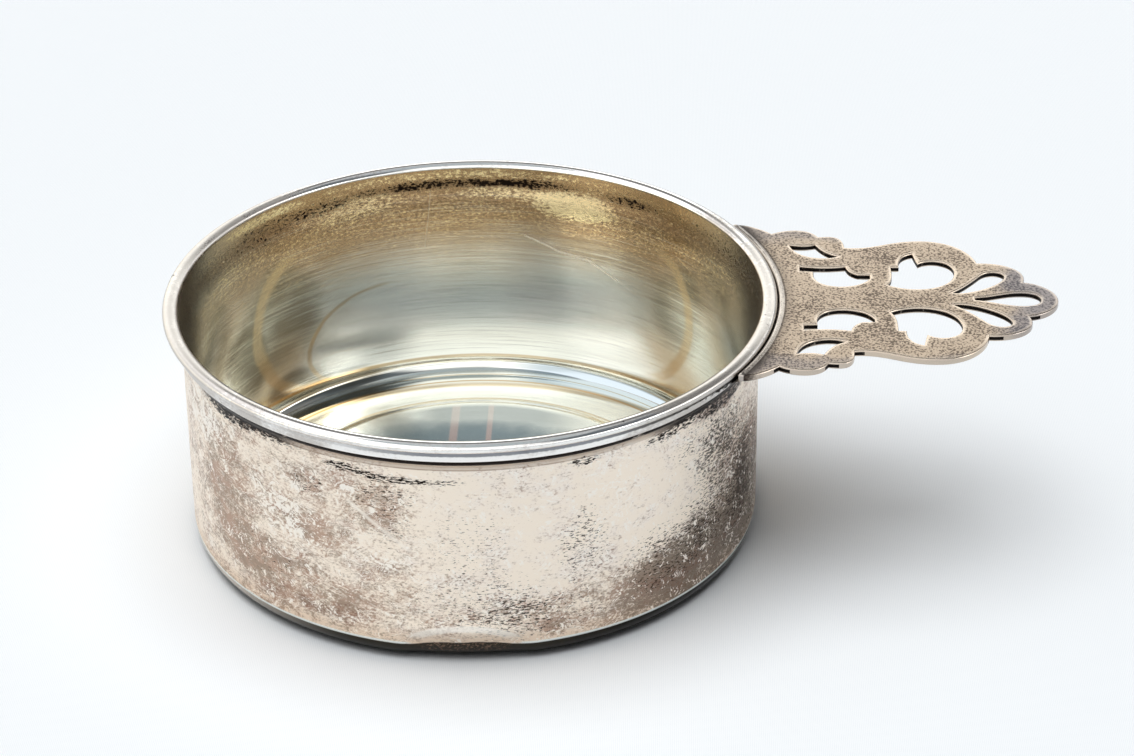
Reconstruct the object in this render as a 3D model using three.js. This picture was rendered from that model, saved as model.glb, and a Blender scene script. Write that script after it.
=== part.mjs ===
// Silver porringer: a shallow round bowl with a moulded rim and one flat, pierced handle.
// Millimetres, +Z up. It stands on z = 0, centred in its bounding box, with the handle along +X.

import * as THREE from 'three';

// Bowl, spun from one sheet of silver.
const BOWL_RADIUS = 49.4; // outside of the upright wall
const BOWL_HEIGHT = 43.18; // table to the top of the rim
const SHEET = 0.6; // thickness of the sheet
const CORNER_RADIUS = 3.5; // outside of the bend between wall and bottom
const FOOT_WIDTH = 1.9; // flat ring that the bowl stands on
const SLOPE_WIDTH = 7.4; // shallow cone from the foot ring up to the step
const SLOPE_RISE = 0.4;
const STEP_WIDTH = 2.8; // soft step up to the flat disc in the middle
const STEP_RISE = 0.45;
const COLLAR_PROJECTION = 1; // how far the mouth is spread outwards to carry the rim
const COLLAR_DEPTH = 6.2; // top of the rim down to where the wall begins to spread
const COLLAR_RISE = 2.2; // height over which it spreads

// Rim moulding, two wires soldered round the mouth.
const BEAD_PROJECTION = 3; // how far the bead stands out from the wall
const BEAD_CROWN = 0.91; // bead above its widest line
const BEAD_BELLY = 0.91; // bead below its widest line
const BEAD_UNDERCUT = 1.2; // how far the belly draws back in
const FILLET_PROJECTION = 1.6; // lower wire, from the wall
const FILLET_HEIGHT = 1.75;
const FILLET_ROUNDING = 0.15;

// Handle, a flat pierced plate butted against the bead.
const HANDLE_REACH = 47.7; // bead to tip
const HANDLE_SPREAD = 27.4; // centre line to a root corner
const HANDLE_THICKNESS = 1.15;
const HANDLE_CHAMFER = 0.25;
const ROOT_ROUNDING = 0.9; // rounding of the two root corners
const HANDLE_DROP = 0.6; // middle of the plate below the bead's widest line

// Solder that holds the handle, a fillet under its root.
const SOLDER_REACH = 1.9; // along the underside of the plate
const SOLDER_END = 1.6; // it stops this far short of the root corners
const SOLDER_HOLLOW = 0.4; // dip of its concave face
const SOLDER_GAP = 0.2; // clearance left in every soldered seam

// Smoothness of the turned and drawn shapes.
const TURN_STEPS = 72; // facets round the bowl
const ARC_STEPS = 2; // pairs of facets in each arc of a turned section
const CURVE_STEPS = 6; // facets in each curve of a drawn outline

// Places that several pieces share.
const wallInside = BOWL_RADIUS - SHEET;
const cornerCentre = BOWL_RADIUS - CORNER_RADIUS;
const footInside = cornerCentre - FOOT_WIDTH;
const stepOutside = footInside - SLOPE_WIDTH;
const discRadius = stepOutside - STEP_WIDTH;
const discUnderside = SLOPE_RISE + STEP_RISE;
const collarRadius = BOWL_RADIUS + COLLAR_PROJECTION;
const collarInside = collarRadius - SHEET;
const collarLow = BOWL_HEIGHT - COLLAR_DEPTH;
const collarHigh = collarLow + COLLAR_RISE;
const rimRadius = BOWL_RADIUS + BEAD_PROJECTION;
const beadLine = BOWL_HEIGHT - BEAD_CROWN;
const beadUnderside = beadLine - BEAD_BELLY;
const mouldingBore = collarRadius + SOLDER_GAP;
const filletTop = beadUnderside - SOLDER_GAP;
const filletLow = filletTop - FILLET_HEIGHT;
const filletRadius = BOWL_RADIUS + FILLET_PROJECTION;
const rootRadius = rimRadius + SOLDER_GAP;
const rootAngle = Math.asin(HANDLE_SPREAD / rootRadius);
const plateUnderside = beadLine - HANDLE_DROP - HANDLE_THICKNESS / 2;

// Handle pattern. Points are [percent of HANDLE_REACH out from the bead, percent of HANDLE_SPREAD
// from the centre line]. A step of one point is a line, of two a quadratic, of three a cubic curve.
const EDGE = [
  [[-10.1, 100.7], [-4.2, 94.2], [-0.7, 87.6]], // shoulder beside the bowl
  [[3.8, 93.4], [13, 96.7], [16.4, 83.2]], // first scallop
  [[20.5, 84.3], [25.8, 86.1], [25.7, 68.4]], // second scallop, down to the neck
  [[36.9, 65.7], [41.1, 78.5], [54.1, 78.3]], // long rise of the broad lobe
  [[64.6, 78.1], [71.7, 64.2], [73.3, 47.8]], // far side of the broad lobe
  [[83.6, 49.3], [91.8, 37.2], [88.6, 22.3]], // small lobe
  [[94.8, 20.8], [100, 10.6], [100, 0]], // half of the tip lobe
];
const SIDE_PIERCINGS = [
  {
    start: [5.6, 71.9], // leaf behind the scallops
    steps: [
      [[10.3, 69], [14.9, 72.4]],
      [[16.4, 67.2], [18.4, 59.5], [23.1, 56.6]],
      [[19.1, 50.7], [7.3, 52.6], [5.6, 71.9]],
    ],
  },
  {
    start: [8.8, 42], // half moon with a slot at each end
    steps: [
      [[17, 39.1], [25.2, 42.3]],
      [[25.6, 37.6], [27, 32.8], [29.8, 31.2]],
      [[33.8, 31]],
      [[33.8, 27]],
      [[30.6, 11.7], [15.1, 10.6], [13.6, 28.1]],
      [[13.6, 35]],
      [[8.8, 35.4]],
    ],
  },
  {
    start: [39.8, 17.9], // large opening of the broad lobe, with a leaf tip and a cusp
    steps: [
      [[42.1, 24.1], [41.9, 36.5]],
      [[41.9, 42]],
      [[44.7, 42.2]],
      [[44.4, 52.6], [46.5, 57.7], [50.1, 60.2]],
      [[50.7, 53.3], [51.7, 46.5]],
      [[55.8, 54.7], [64.8, 50.7], [64.4, 35]],
      [[63.9, 13.1], [49.5, 6.2], [39.8, 17.9]],
    ],
  },
  {
    start: [62.3, 7.8], // slanting drop
    steps: [
      [[67.5, 4.4], [80.1, 16.8], [82, 28.1]],
      [[83.2, 36.5], [76.7, 39.8], [73, 29.9]],
      [[70.4, 23.4], [66.7, 14.2], [62.3, 7.8]],
    ],
  },
];
const MIDDLE_PIERCING = {
  start: [70.5, 1.5], // upper half of the drop on the centre line
  steps: [
    [[76.7, 3.3], [81.3, 8.8], [87.2, 8.8]],
    [[91.8, 8.8], [93.8, 4.7], [93.8, 0]],
  ],
};

// A material for bare silver.
function silver(color, roughness) {
  return new THREE.MeshStandardMaterial({ color, roughness, metalness: 1 });
}

// A closed outline of radius and height, turned about the bowl's axis.
function turned(profile) {
  const points = profile.getPoints(ARC_STEPS);
  return new THREE.LatheGeometry(points, TURN_STEPS).rotateX(Math.PI / 2);
}

// Wall and bottom in one sheet, with a raised disc in the floor and a collar spread out at the mouth.
function bowlBody() {
  const wallTop = beadLine - SOLDER_GAP;
  const profile = new THREE.Path();
  profile.moveTo(0, discUnderside);
  profile.lineTo(discRadius, discUnderside);
  profile.lineTo(stepOutside, SLOPE_RISE);
  profile.lineTo(footInside, 0);
  profile.lineTo(cornerCentre, 0);
  profile.absarc(cornerCentre, CORNER_RADIUS, CORNER_RADIUS, -Math.PI / 2, 0, false);
  profile.lineTo(BOWL_RADIUS, collarLow);
  profile.lineTo(collarRadius, collarHigh);
  profile.lineTo(collarRadius, wallTop);
  profile.lineTo(collarInside, wallTop);
  profile.lineTo(collarInside, collarHigh);
  profile.lineTo(wallInside, collarLow);
  profile.absarc(cornerCentre, CORNER_RADIUS, CORNER_RADIUS - SHEET, 0, -Math.PI / 2, true);
  profile.lineTo(footInside, SHEET);
  profile.lineTo(stepOutside, SLOPE_RISE + SHEET);
  profile.lineTo(discRadius, discUnderside + SHEET);
  profile.lineTo(0, discUnderside + SHEET);
  return turned(profile);
}

// Half-round bead that caps the edge of the collar and hangs over its outside.
function rimBead() {
  const middle = (collarInside + rimRadius) / 2;
  const halfWidth = (rimRadius - collarInside) / 2;
  const bellyCentre = rimRadius - BEAD_UNDERCUT;
  const profile = new THREE.Path();
  profile.moveTo(mouldingBore, beadLine);
  profile.lineTo(mouldingBore, beadUnderside);
  profile.lineTo(bellyCentre, beadUnderside);
  profile.absellipse(bellyCentre, beadLine, BEAD_UNDERCUT, BEAD_BELLY, -Math.PI / 2, 0, false);
  profile.absellipse(middle, beadLine, halfWidth, BEAD_CROWN, 0, Math.PI / 2, false);
  profile.absellipse(middle, beadLine, halfWidth, BEAD_CROWN, Math.PI / 2, Math.PI, false);
  profile.lineTo(mouldingBore, beadLine);
  return turned(profile);
}

// Flat wire below the bead, with rounded corners.
function rimFillet() {
  const low = filletLow + FILLET_ROUNDING;
  const high = filletTop - FILLET_ROUNDING;
  const round = filletRadius - FILLET_ROUNDING;
  const profile = new THREE.Path();
  profile.moveTo(mouldingBore, filletTop);
  profile.lineTo(mouldingBore, filletLow);
  profile.absarc(round, low, FILLET_ROUNDING, -Math.PI / 2, 0, false);
  profile.absarc(round, high, FILLET_ROUNDING, 0, Math.PI / 2, false);
  profile.lineTo(mouldingBore, filletTop);
  return turned(profile);
}

// A pattern point in millimetres from the bowl's axis and from the centre line.
function patternPoint([along, across]) {
  return [rimRadius + (along / 100) * HANDLE_REACH, (across / 100) * HANDLE_SPREAD];
}

// The steps of a pattern outline in millimetres.
function patternSteps(steps) {
  return steps.map((step) => step.map(patternPoint));
}

// Draws steps on one side of the centre line; side is 1 or -1.
function follow(path, steps, side) {
  for (const step of steps) {
    const numbers = step.flatMap(([x, y]) => [x, side * y]);
    if (step.length === 1) path.lineTo(...numbers);
    else if (step.length === 2) path.quadraticCurveTo(...numbers);
    else path.bezierCurveTo(...numbers);
  }
}

// The same steps from their end back to their start, for the mirrored half of an outline.
function backwards(start, steps) {
  const ends = [start, ...steps.map((step) => step.at(-1))];
  return steps.map((step, index) => [...step.slice(0, -1).reverse(), ends[index]]).reverse();
}

// A piercing that is whole on one side of the centre line.
function sidePiercing({ start, steps }, side) {
  const [x, y] = patternPoint(start);
  const hole = new THREE.Path();
  hole.moveTo(x, side * y);
  follow(hole, patternSteps(steps), side);
  hole.closePath();
  return hole;
}

// The drop that lies across the centre line.
function middlePiercing({ start, steps }) {
  const first = patternPoint(start);
  const half = patternSteps(steps);
  const hole = new THREE.Path();
  hole.moveTo(...first);
  follow(hole, half, 1);
  follow(hole, backwards(first, half), -1);
  hole.closePath();
  return hole;
}

// Pierced plate with chamfered edges. Its root is cut to an arc that fits round the bead.
function handlePlate() {
  const corner = [rootRadius * Math.cos(rootAngle), rootRadius * Math.sin(rootAngle)];
  const shoulder = [corner[0] + ROOT_ROUNDING, corner[1]];
  const arcAngle = rootAngle - ROOT_ROUNDING / rootRadius;
  const arcEnd = [rootRadius * Math.cos(arcAngle), rootRadius * Math.sin(arcAngle)];
  const edge = patternSteps(EDGE);
  const outline = new THREE.Shape();
  outline.moveTo(shoulder[0], -shoulder[1]);
  follow(outline, edge, -1);
  follow(outline, backwards(shoulder, edge), 1);
  follow(outline, [[corner, arcEnd]], 1);
  outline.absarc(0, 0, rootRadius, arcAngle, -arcAngle, true);
  follow(outline, [[corner, shoulder]], -1);
  for (const piercing of SIDE_PIERCINGS) {
    outline.holes.push(sidePiercing(piercing, 1), sidePiercing(piercing, -1));
  }
  outline.holes.push(middlePiercing(MIDDLE_PIERCING));
  const plate = new THREE.ExtrudeGeometry(outline, {
    depth: HANDLE_THICKNESS - 2 * HANDLE_CHAMFER,
    bevelThickness: HANDLE_CHAMFER,
    bevelSize: HANDLE_CHAMFER,
    bevelOffset: -HANDLE_CHAMFER,
    bevelSegments: 1,
    curveSegments: CURVE_STEPS,
  });
  return plate.translate(0, 0, plateUnderside + HANDLE_CHAMFER);
}

// Arc round the bowl's axis, centred on the handle.
class RootArc extends THREE.Curve {
  constructor(radius, height, halfAngle) {
    super();
    this.radius = radius;
    this.height = height;
    this.halfAngle = halfAngle;
  }

  getPoint(t, target = new THREE.Vector3()) {
    const angle = (2 * t - 1) * this.halfAngle;
    return target.set(this.radius * Math.cos(angle), this.radius * Math.sin(angle), this.height);
  }
}

// Concave fillet of solder in the corner between the plate's underside and the lower wire.
// The section is drawn down from the plate and in from the root, as the arc's frame has it.
function handleSolder() {
  const depth = plateUnderside - SOLDER_GAP - (filletLow + FILLET_ROUNDING);
  const inward = rootRadius - filletRadius - SOLDER_GAP;
  const section = new THREE.Shape();
  section.moveTo(0, 0);
  section.lineTo(depth, inward);
  section.quadraticCurveTo(SOLDER_HOLLOW, inward - SOLDER_REACH, 0, -SOLDER_REACH);
  section.closePath();
  const halfAngle = rootAngle - SOLDER_END / rootRadius;
  return new THREE.ExtrudeGeometry(section, {
    steps: TURN_STEPS / 4,
    curveSegments: CURVE_STEPS,
    extrudePath: new RootArc(rootRadius, plateUnderside - SOLDER_GAP, halfAngle),
  });
}

// The porringer, with its bowl set back so that the whole is centred on the origin.
const porringer = new THREE.Group();
porringer.position.x = -HANDLE_REACH / 2;

const pieces = [
  ['bowl_body', bowlBody(), silver(0xcfc6b8, 0.35)],
  ['rim_bead', rimBead(), silver(0xe4e2de, 0.2)],
  ['rim_fillet', rimFillet(), silver(0xd9d4cb, 0.25)],
  ['handle_plate', handlePlate(), silver(0x9b8f82, 0.45)],
  ['handle_solder', handleSolder(), silver(0x7d7770, 0.5)],
];
for (const [name, geometry, material] of pieces) {
  const mesh = new THREE.Mesh(geometry, material);
  mesh.name = name;
  porringer.add(mesh);
}

export default porringer;
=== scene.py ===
"""Silver porringer: fine meshes, finishes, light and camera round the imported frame.

Sizes are in millimetres from the bowl's axis until a mesh is made, when they become metres in the
part's frame. Heights are above the table, and turns round the bowl are in degrees.
"""

from __future__ import annotations

import logging
import math
from dataclasses import dataclass
from enum import Enum
from typing import ClassVar, Sequence, Union

import bmesh
import bpy
import numpy as np
from mathutils import Matrix, Vector
from mathutils.geometry import delaunay_2d_cdt
from mathutils.kdtree import KDTree


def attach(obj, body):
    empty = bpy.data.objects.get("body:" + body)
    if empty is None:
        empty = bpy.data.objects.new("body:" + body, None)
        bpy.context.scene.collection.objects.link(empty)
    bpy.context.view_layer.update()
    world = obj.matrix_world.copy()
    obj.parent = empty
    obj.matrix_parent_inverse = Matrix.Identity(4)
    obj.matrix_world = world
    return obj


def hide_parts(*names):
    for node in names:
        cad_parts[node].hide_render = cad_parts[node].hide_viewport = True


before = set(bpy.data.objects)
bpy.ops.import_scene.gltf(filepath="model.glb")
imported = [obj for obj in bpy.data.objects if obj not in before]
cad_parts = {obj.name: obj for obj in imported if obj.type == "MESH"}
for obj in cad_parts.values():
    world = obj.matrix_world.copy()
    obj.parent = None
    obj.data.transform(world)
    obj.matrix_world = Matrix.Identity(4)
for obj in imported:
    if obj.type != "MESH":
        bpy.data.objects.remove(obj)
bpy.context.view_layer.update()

LOG = logging.getLogger("porringer")
BODY = "root"

MM = 0.001
AXIS_X = -23.85
WALL_RADIUS = 49.4
DEGREES = 180 / math.pi

Point = tuple[float, float]
Colour = tuple[float, float, float, float]
Loop = list[Point]
# Low end, high end and soft margin, in the order in which a mask takes them.
Span = tuple[float, float, float]


class Slot(Enum):
    """Material slots of the part's record."""

    BOWL = "bowl_silver"
    RIM = "rim_silver"
    HANDLE = "handle_silver"
    SOLDER = "solder"


class Side(Enum):
    """Which way turn zero points: to the front of the bowl or to its back."""

    FRONT = -1.0
    BACK = 1.0


def tone(red: float, green: float, blue: float) -> Colour:
    """Turns a display colour into the linear colour that shaders work in.

    Args:
        red: Display value from 0 to 255.
        green: Display value from 0 to 255.
        blue: Display value from 0 to 255.

    Returns:
        The linear colour, opaque.
    """

    def linear(value: float) -> float:
        """Undoes the display curve for one channel."""
        share = value / 255
        return share / 12.92 if share <= 0.04045 else ((share + 0.055) / 1.055) ** 2.4

    return (linear(red), linear(green), linear(blue), 1.0)


class Sock:
    """An output socket with the arithmetic that node maths needs."""

    def __init__(self, graph: Graph, socket: bpy.types.NodeSocket) -> None:
        """Keeps the socket and the graph that new nodes go into."""
        self.graph = graph
        self.socket = socket

    def __add__(self, other: Value) -> Sock:
        """Sum of two values."""
        return self.graph.math("ADD", self, other)

    def __radd__(self, other: Value) -> Sock:
        """Sum of two values."""
        return self.graph.math("ADD", other, self)

    def __sub__(self, other: Value) -> Sock:
        """Difference of two values."""
        return self.graph.math("SUBTRACT", self, other)

    def __rsub__(self, other: Value) -> Sock:
        """Difference of two values."""
        return self.graph.math("SUBTRACT", other, self)

    def __mul__(self, other: Value) -> Sock:
        """Product of two values."""
        return self.graph.math("MULTIPLY", self, other)

    def __rmul__(self, other: Value) -> Sock:
        """Product of two values."""
        return self.graph.math("MULTIPLY", other, self)

    def __truediv__(self, other: Value) -> Sock:
        """Quotient of two values."""
        return self.graph.math("DIVIDE", self, other)

    def higher(self, other: Value) -> Sock:
        """The higher of two values."""
        return self.graph.math("MAXIMUM", self, other)

    def output(self, name: str) -> Sock:
        """Another output of the same node."""
        return Sock(self.graph, self.socket.node.outputs[name])

    def rise(self, low: Value, high: Value) -> Sock:
        """Goes smoothly from 0 at low to 1 at high, or down where high is the lower number."""
        settings = {"interpolation_type": "SMOOTHSTEP"}
        inputs = {"Value": self, "From Min": low, "From Max": high}
        return self.graph.node("ShaderNodeMapRange", settings, inputs)

    def within(self, low: float, high: float, soft: float) -> Sock:
        """Is 1 between two values and fades to 0 over a soft margin outside them."""
        return self.rise(low - soft, low) * self.rise(high + soft, high)

    def swing(self, amount: float) -> Sock:
        """How far a noise is from its middle, times an amount."""
        return (self - 0.5) * amount


Value = Union[Sock, float]


class Graph:
    """Adds nodes to one node tree."""

    def __init__(self, tree: bpy.types.NodeTree) -> None:
        """Keeps the tree."""
        self.tree = tree

    @staticmethod
    def pick(sockets: Sequence[bpy.types.NodeSocket], name: str) -> bpy.types.NodeSocket:
        """Finds a socket by its identifier, or else by its name."""
        known = {socket.identifier: socket for socket in sockets}
        return known[name] if name in known else next(s for s in sockets if s.name == name)

    def add(
        self, kind: str, settings: dict | None = None, inputs: dict | None = None
    ) -> bpy.types.Node:
        """Adds any node.

        Args:
            kind: Blender's name of the node type.
            settings: Properties of the node, set before its sockets.
            inputs: Values or links of its sockets, by identifier or name. A list links them all.

        Returns:
            The node.
        """
        made = self.tree.nodes.new(kind)
        for name, value in (settings or {}).items():
            setattr(made, name, value)
        for name, value in (inputs or {}).items():
            socket = self.pick(made.inputs, name)
            for one in value if isinstance(value, list) else [value]:
                if isinstance(one, Sock):
                    self.tree.links.new(one.socket, socket)
                else:
                    socket.default_value = one
        return made

    def node(
        self,
        kind: str,
        settings: dict | None = None,
        inputs: dict | None = None,
        output: str | None = None,
    ) -> Sock:
        """Adds any node, as add does, and returns its first output or the one with that name."""
        made = self.add(kind, settings, inputs)
        return Sock(self, self.pick(made.outputs, output) if output else made.outputs[0])

    def math(self, operation: str, *values: Value) -> Sock:
        """Adds a Math node with the given operation and values."""
        names = ("Value", "Value_001", "Value_002")
        return self.node("ShaderNodeMath", {"operation": operation}, dict(zip(names, values)))

    def vector(self, operation: str, first: Sock, second: Sock | Sequence[float]) -> Sock:
        """Adds a Vector Math node with the given operation and two vectors."""
        inputs = {"Vector": first, "Vector_001": second}
        return self.node("ShaderNodeVectorMath", {"operation": operation}, inputs)

    def combine(self, x: Value, y: Value, z: Value) -> Sock:
        """Makes a vector of three values."""
        return self.node("ShaderNodeCombineXYZ", None, {"X": x, "Y": y, "Z": z})

    def blend(self, factor: Value, first: Sock | Colour, second: Sock | Colour) -> Sock:
        """Mixes two colours: the first at factor 0, the second at factor 1."""
        settings = {"data_type": "RGBA", "clamp_factor": True}
        inputs = {"Factor_Float": factor, "A_Color": first, "B_Color": second}
        return self.node("ShaderNodeMix", settings, inputs, "Result_Color")

    def layers(self, ground: Sock | Colour, *coats: tuple[Value, Sock | Colour]) -> Sock:
        """Lays colours over a ground in turn, each as far as its mask goes."""
        for mask, colour in coats:
            ground = self.blend(mask, ground, colour)
        return ground

    def noise(
        self, place: Sock, scale: Sequence[float], detail: float = 3.0, rough: float = 0.55
    ) -> Sock:
        """Adds a noise.

        Args:
            place: Coordinates in millimetres.
            scale: Features to the millimetre along each axis.
            detail: Octaves.
            rough: Strength of the finer octaves.

        Returns:
            The noise from 0 to 1, around 0.5.
        """
        inputs = {
            "Vector": self.vector("MULTIPLY", place, scale),
            "Scale": 1.0,
            "Detail": detail,
            "Roughness": rough,
        }
        return self.node("ShaderNodeTexNoise", None, inputs)

    def bump(self, height: Value, strength: float, depth: float) -> Sock:
        """Adds a bump.

        Args:
            height: Height from 0 to 1.
            strength: Strength of the effect.
            depth: Millimetres between height 0 and height 1.

        Returns:
            The normal.
        """
        inputs = {"Height": height, "Strength": strength, "Distance": depth * MM}
        return self.node("ShaderNodeBump", None, inputs)


class Surface:
    """A metal material in the making, with coordinates from the bowl's axis."""

    def __init__(self, name: str, side: Side = Side.FRONT) -> None:
        """Starts a material and works out its coordinates.

        Args:
            name: Name of the material.
            side: Where turn zero points.
        """
        self.material = bpy.data.materials.new(name)
        self.material.use_nodes = True
        self.material.node_tree.nodes.clear()
        self.graph = Graph(self.material.node_tree)
        graph = self.graph
        part = graph.node("ShaderNodeTexCoord", None, None, "Object")
        inputs = {"Vector": part, "Scale": (1 / MM,) * 3, "Location": (-AXIS_X, 0.0, 0.0)}
        self.place = graph.node("ShaderNodeMapping", {"vector_type": "POINT"}, inputs)
        self.x = graph.node("ShaderNodeSeparateXYZ", None, {"Vector": self.place}, "X")
        self.y = self.x.output("Y")
        self.height = self.x.output("Z")
        self.radius = graph.math("SQRT", self.x * self.x + self.y * self.y)
        self.turn = graph.math("ARCTAN2", self.x, self.y * side.value) * DEGREES

    def noise(
        self, scale: Sequence[float], detail: float = 3.0, rough: float = 0.55
    ) -> Sock:
        """Adds a noise in the surface's own coordinates, as the graph's noise does."""
        return self.graph.noise(self.place, scale, detail, rough)

    def patches(self, places: Sequence[Patch]) -> Sock:
        """Sums soft oval places into one density."""
        total: Value = 0.0
        for place in places:
            total = self.oval(place).rise(1.0, 0.0) * place.strength + total
        return total

    def oval(self, place: Patch) -> Sock:
        """Is 0 in the middle of an oval place, 1 on its outline and more outside it."""
        across = (self.turn - place.turn) / place.wide
        up = (self.height - place.height) / place.tall
        return across * across + up * up

    def unrolled(self, lean: float) -> tuple[Sock, Sock]:
        """Places along and across a direction that leans on the unrolled wall.

        Args:
            lean: Degrees from level.

        Returns:
            Millimetres along it and across it.
        """
        round_wall = self.turn * (WALL_RADIUS / DEGREES)
        slope = math.radians(lean)
        along = round_wall * math.cos(slope) + self.height * math.sin(slope)
        across = self.height * math.cos(slope) - round_wall * math.sin(slope)
        return along, across

    def scratches(self, lean: float, length: float, width: float, sway: Value = 0.0) -> Sock:
        """A noise drawn out into thin marks on the wall.

        Args:
            lean: Degrees from level.
            length: Usual length of a mark in millimetres.
            width: Usual width of a mark in millimetres.
            sway: Millimetres by which the marks are pushed aside, to bend them.

        Returns:
            The noise from 0 to 1, around 0.5.
        """
        along, across = self.unrolled(lean)
        place = self.graph.combine(along, across + sway, lean)
        return self.graph.noise(place, (1 / length, 1 / width, 1.0), 1.0)

    def scratched(self, kinds: Sequence[Sequence[float]], sway: Value) -> Sock:
        """The highest of several kinds of scratches, each a lean, a length and a width."""
        total: Value = 0.0
        for lean, length, width in kinds:
            total = self.scratches(lean, length, width, sway).higher(total)
        return total

    def stroke(self, mark: Stroke) -> Sock:
        """One straight mark on the wall, with its strength along its middle and 0 at its sides."""
        first = mark.start[0] * WALL_RADIUS / DEGREES
        wide = mark.end[0] * WALL_RADIUS / DEGREES - first
        tall = mark.end[1] - mark.start[1]
        slope = math.atan2(tall, wide)
        along, across = self.unrolled(slope * DEGREES)
        near = first * math.cos(slope) + mark.start[1] * math.sin(slope)
        level = mark.start[1] * math.cos(slope) - first * math.sin(slope)
        off = self.graph.math("ABSOLUTE", across - level)
        length = math.hypot(wide, tall)
        return off.rise(mark.width, 0.0) * along.within(near, near + length, 1.0) * mark.strength

    def strokes(self, marks: Sequence[Stroke]) -> Sock:
        """The highest of several straight marks."""
        total: Value = 0.0
        for mark in marks:
            total = self.stroke(mark).higher(total)
        return total

    def close(
        self,
        colour: Sock | Colour,
        rough: Value,
        normal: Sock | None,
        metallic: float = 1.0,
        brushed: float = 0.0,
    ) -> bpy.types.Material:
        """Ends the material in a metal shader.

        Args:
            colour: Base colour.
            rough: Roughness.
            normal: Bumped normal, where there is one.
            metallic: Metallic share.
            brushed: How strongly brushing round the axis spreads the shine across it.

        Returns:
            The finished material.
        """
        inputs = {
            "Base Color": colour,
            "Roughness": rough,
            "Metallic": metallic,
            "Anisotropic": brushed,
            "Anisotropic Rotation": 0.25,
        }
        if normal is not None:
            inputs["Normal"] = normal
        shader = self.graph.node("ShaderNodeBsdfPrincipled", None, inputs)
        self.graph.add("ShaderNodeOutputMaterial", None, {"Surface": shader})
        return self.material


@dataclass(frozen=True)
class Patch:
    """A soft oval place on the bowl, with its middle, its half sizes and its strength."""

    turn: float
    height: float
    wide: float
    tall: float
    strength: float = 1.0


@dataclass(frozen=True)
class Stroke:
    """A straight mark on the wall between two places, each a turn and a height."""

    start: Point
    end: Point
    width: float
    strength: float = 1.0


OUTSIDE_FILM = (
    Patch(-45, 20, 54, 36, 0.55),
    Patch(-53, 22, 11, 13, 0.5),
    Patch(-46, 13, 14, 7, 0.5),
    Patch(-34, 10, 18, 6, 0.4),
    Patch(-27, 22, 8, 5, 0.35),
    Patch(-18, 9, 12, 6, 0.3),
    Patch(-12, 15, 8, 5, 0.35),
    Patch(-15, 29, 10, 7, 0.45),
    Patch(6, 8, 22, 6, 0.35),
    Patch(32, 8, 24, 8, 0.7),
    Patch(54, 9, 26, 11, 1.2),
    Patch(80, 14, 20, 20, 1.1),
    Patch(68, 22, 16, 17, 0.55),
    Patch(140, 14, 50, 12, 0.6),
    Patch(-130, 24, 40, 16, 0.5),
)
OUTSIDE_RUST = (
    Patch(-13, 14.5, 5, 3, 0.6),
    Patch(-24, 7.5, 14, 3, 0.5),
    Patch(-40, 9, 8, 4, 0.4),
    Patch(2, 7, 12, 3, 0.4),
    Patch(46, 8, 18, 6, 0.6),
    Patch(68, 14, 14, 9, 0.5),
    Patch(60, 36, 14, 2.5, 0.9),
)
OUTSIDE_SPECKS = (
    Patch(-29.5, 30.8, 5, 3.2, 0.85),
    Patch(-14, 31, 9, 4, 0.85),
    Patch(-12, 25, 6, 5, 0.6),
    Patch(-40, 13, 14, 8, 0.45),
    Patch(2, 23, 11, 8, 0.5),
    Patch(4, 12, 17, 8, 0.65),
    Patch(16, 8, 18, 6, 0.7),
    Patch(24.5, 20, 6.5, 10, 0.9),
    Patch(44, 13, 16, 9, 0.95),
    Patch(62, 20, 16, 17, 1.15),
    Patch(56, 31, 16, 7, 0.75),
    Patch(78, 16, 16, 18, 1.2),
    Patch(130, 26, 30, 14, 0.7),
    Patch(-120, 12, 30, 10, 0.7),
    Patch(-165, 30, 20, 8, 0.6),
)
OUTSIDE_SMUDGES = (
    Patch(-50, 36.8, 13, 2.0, 1.0),
    Patch(-21, 35.6, 7, 1.2, 0.85),
    Patch(-12, 34.6, 9, 1.2, 0.8),
    Patch(-2, 34.6, 7, 0.8, 0.6),
    Patch(24.5, 36.4, 4.5, 1.3, 0.85),
    Patch(43, 36.0, 9, 1.4, 0.8),
    Patch(60, 36.2, 15, 2.0, 0.95),
    Patch(100, 36, 20, 2.4, 0.8),
    Patch(170, 36, 22, 1.8, 0.8),
)
OUTSIDE_RUBBED = (
    Patch(-40, 20, 34, 20, 1.0),
    Patch(-14, 22, 14, 14, 1.0),
    Patch(-150, 22, 50, 16, 0.8),
)
OUTSIDE_WORN = (
    Patch(-62, 32, 12, 7, 0.75),
    Patch(-36, 24, 8, 9, 0.5),
    Patch(-14, 19.5, 6, 3, 0.4),
    Patch(30, 30, 9, 10, 0.4),
)
OUTSIDE_SCUFFS = ((-36, 7.0, 0.15), (12, 9.0, 0.14), (-74, 5.0, 0.15), (48, 6.0, 0.15))
OUTSIDE_STROKES = (Stroke((-20.5, 29.3), (-9.0, 21.6), 0.6, 0.8),)
DENT = Patch(1.0, 2.6, 10.5, 4.2)


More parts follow.
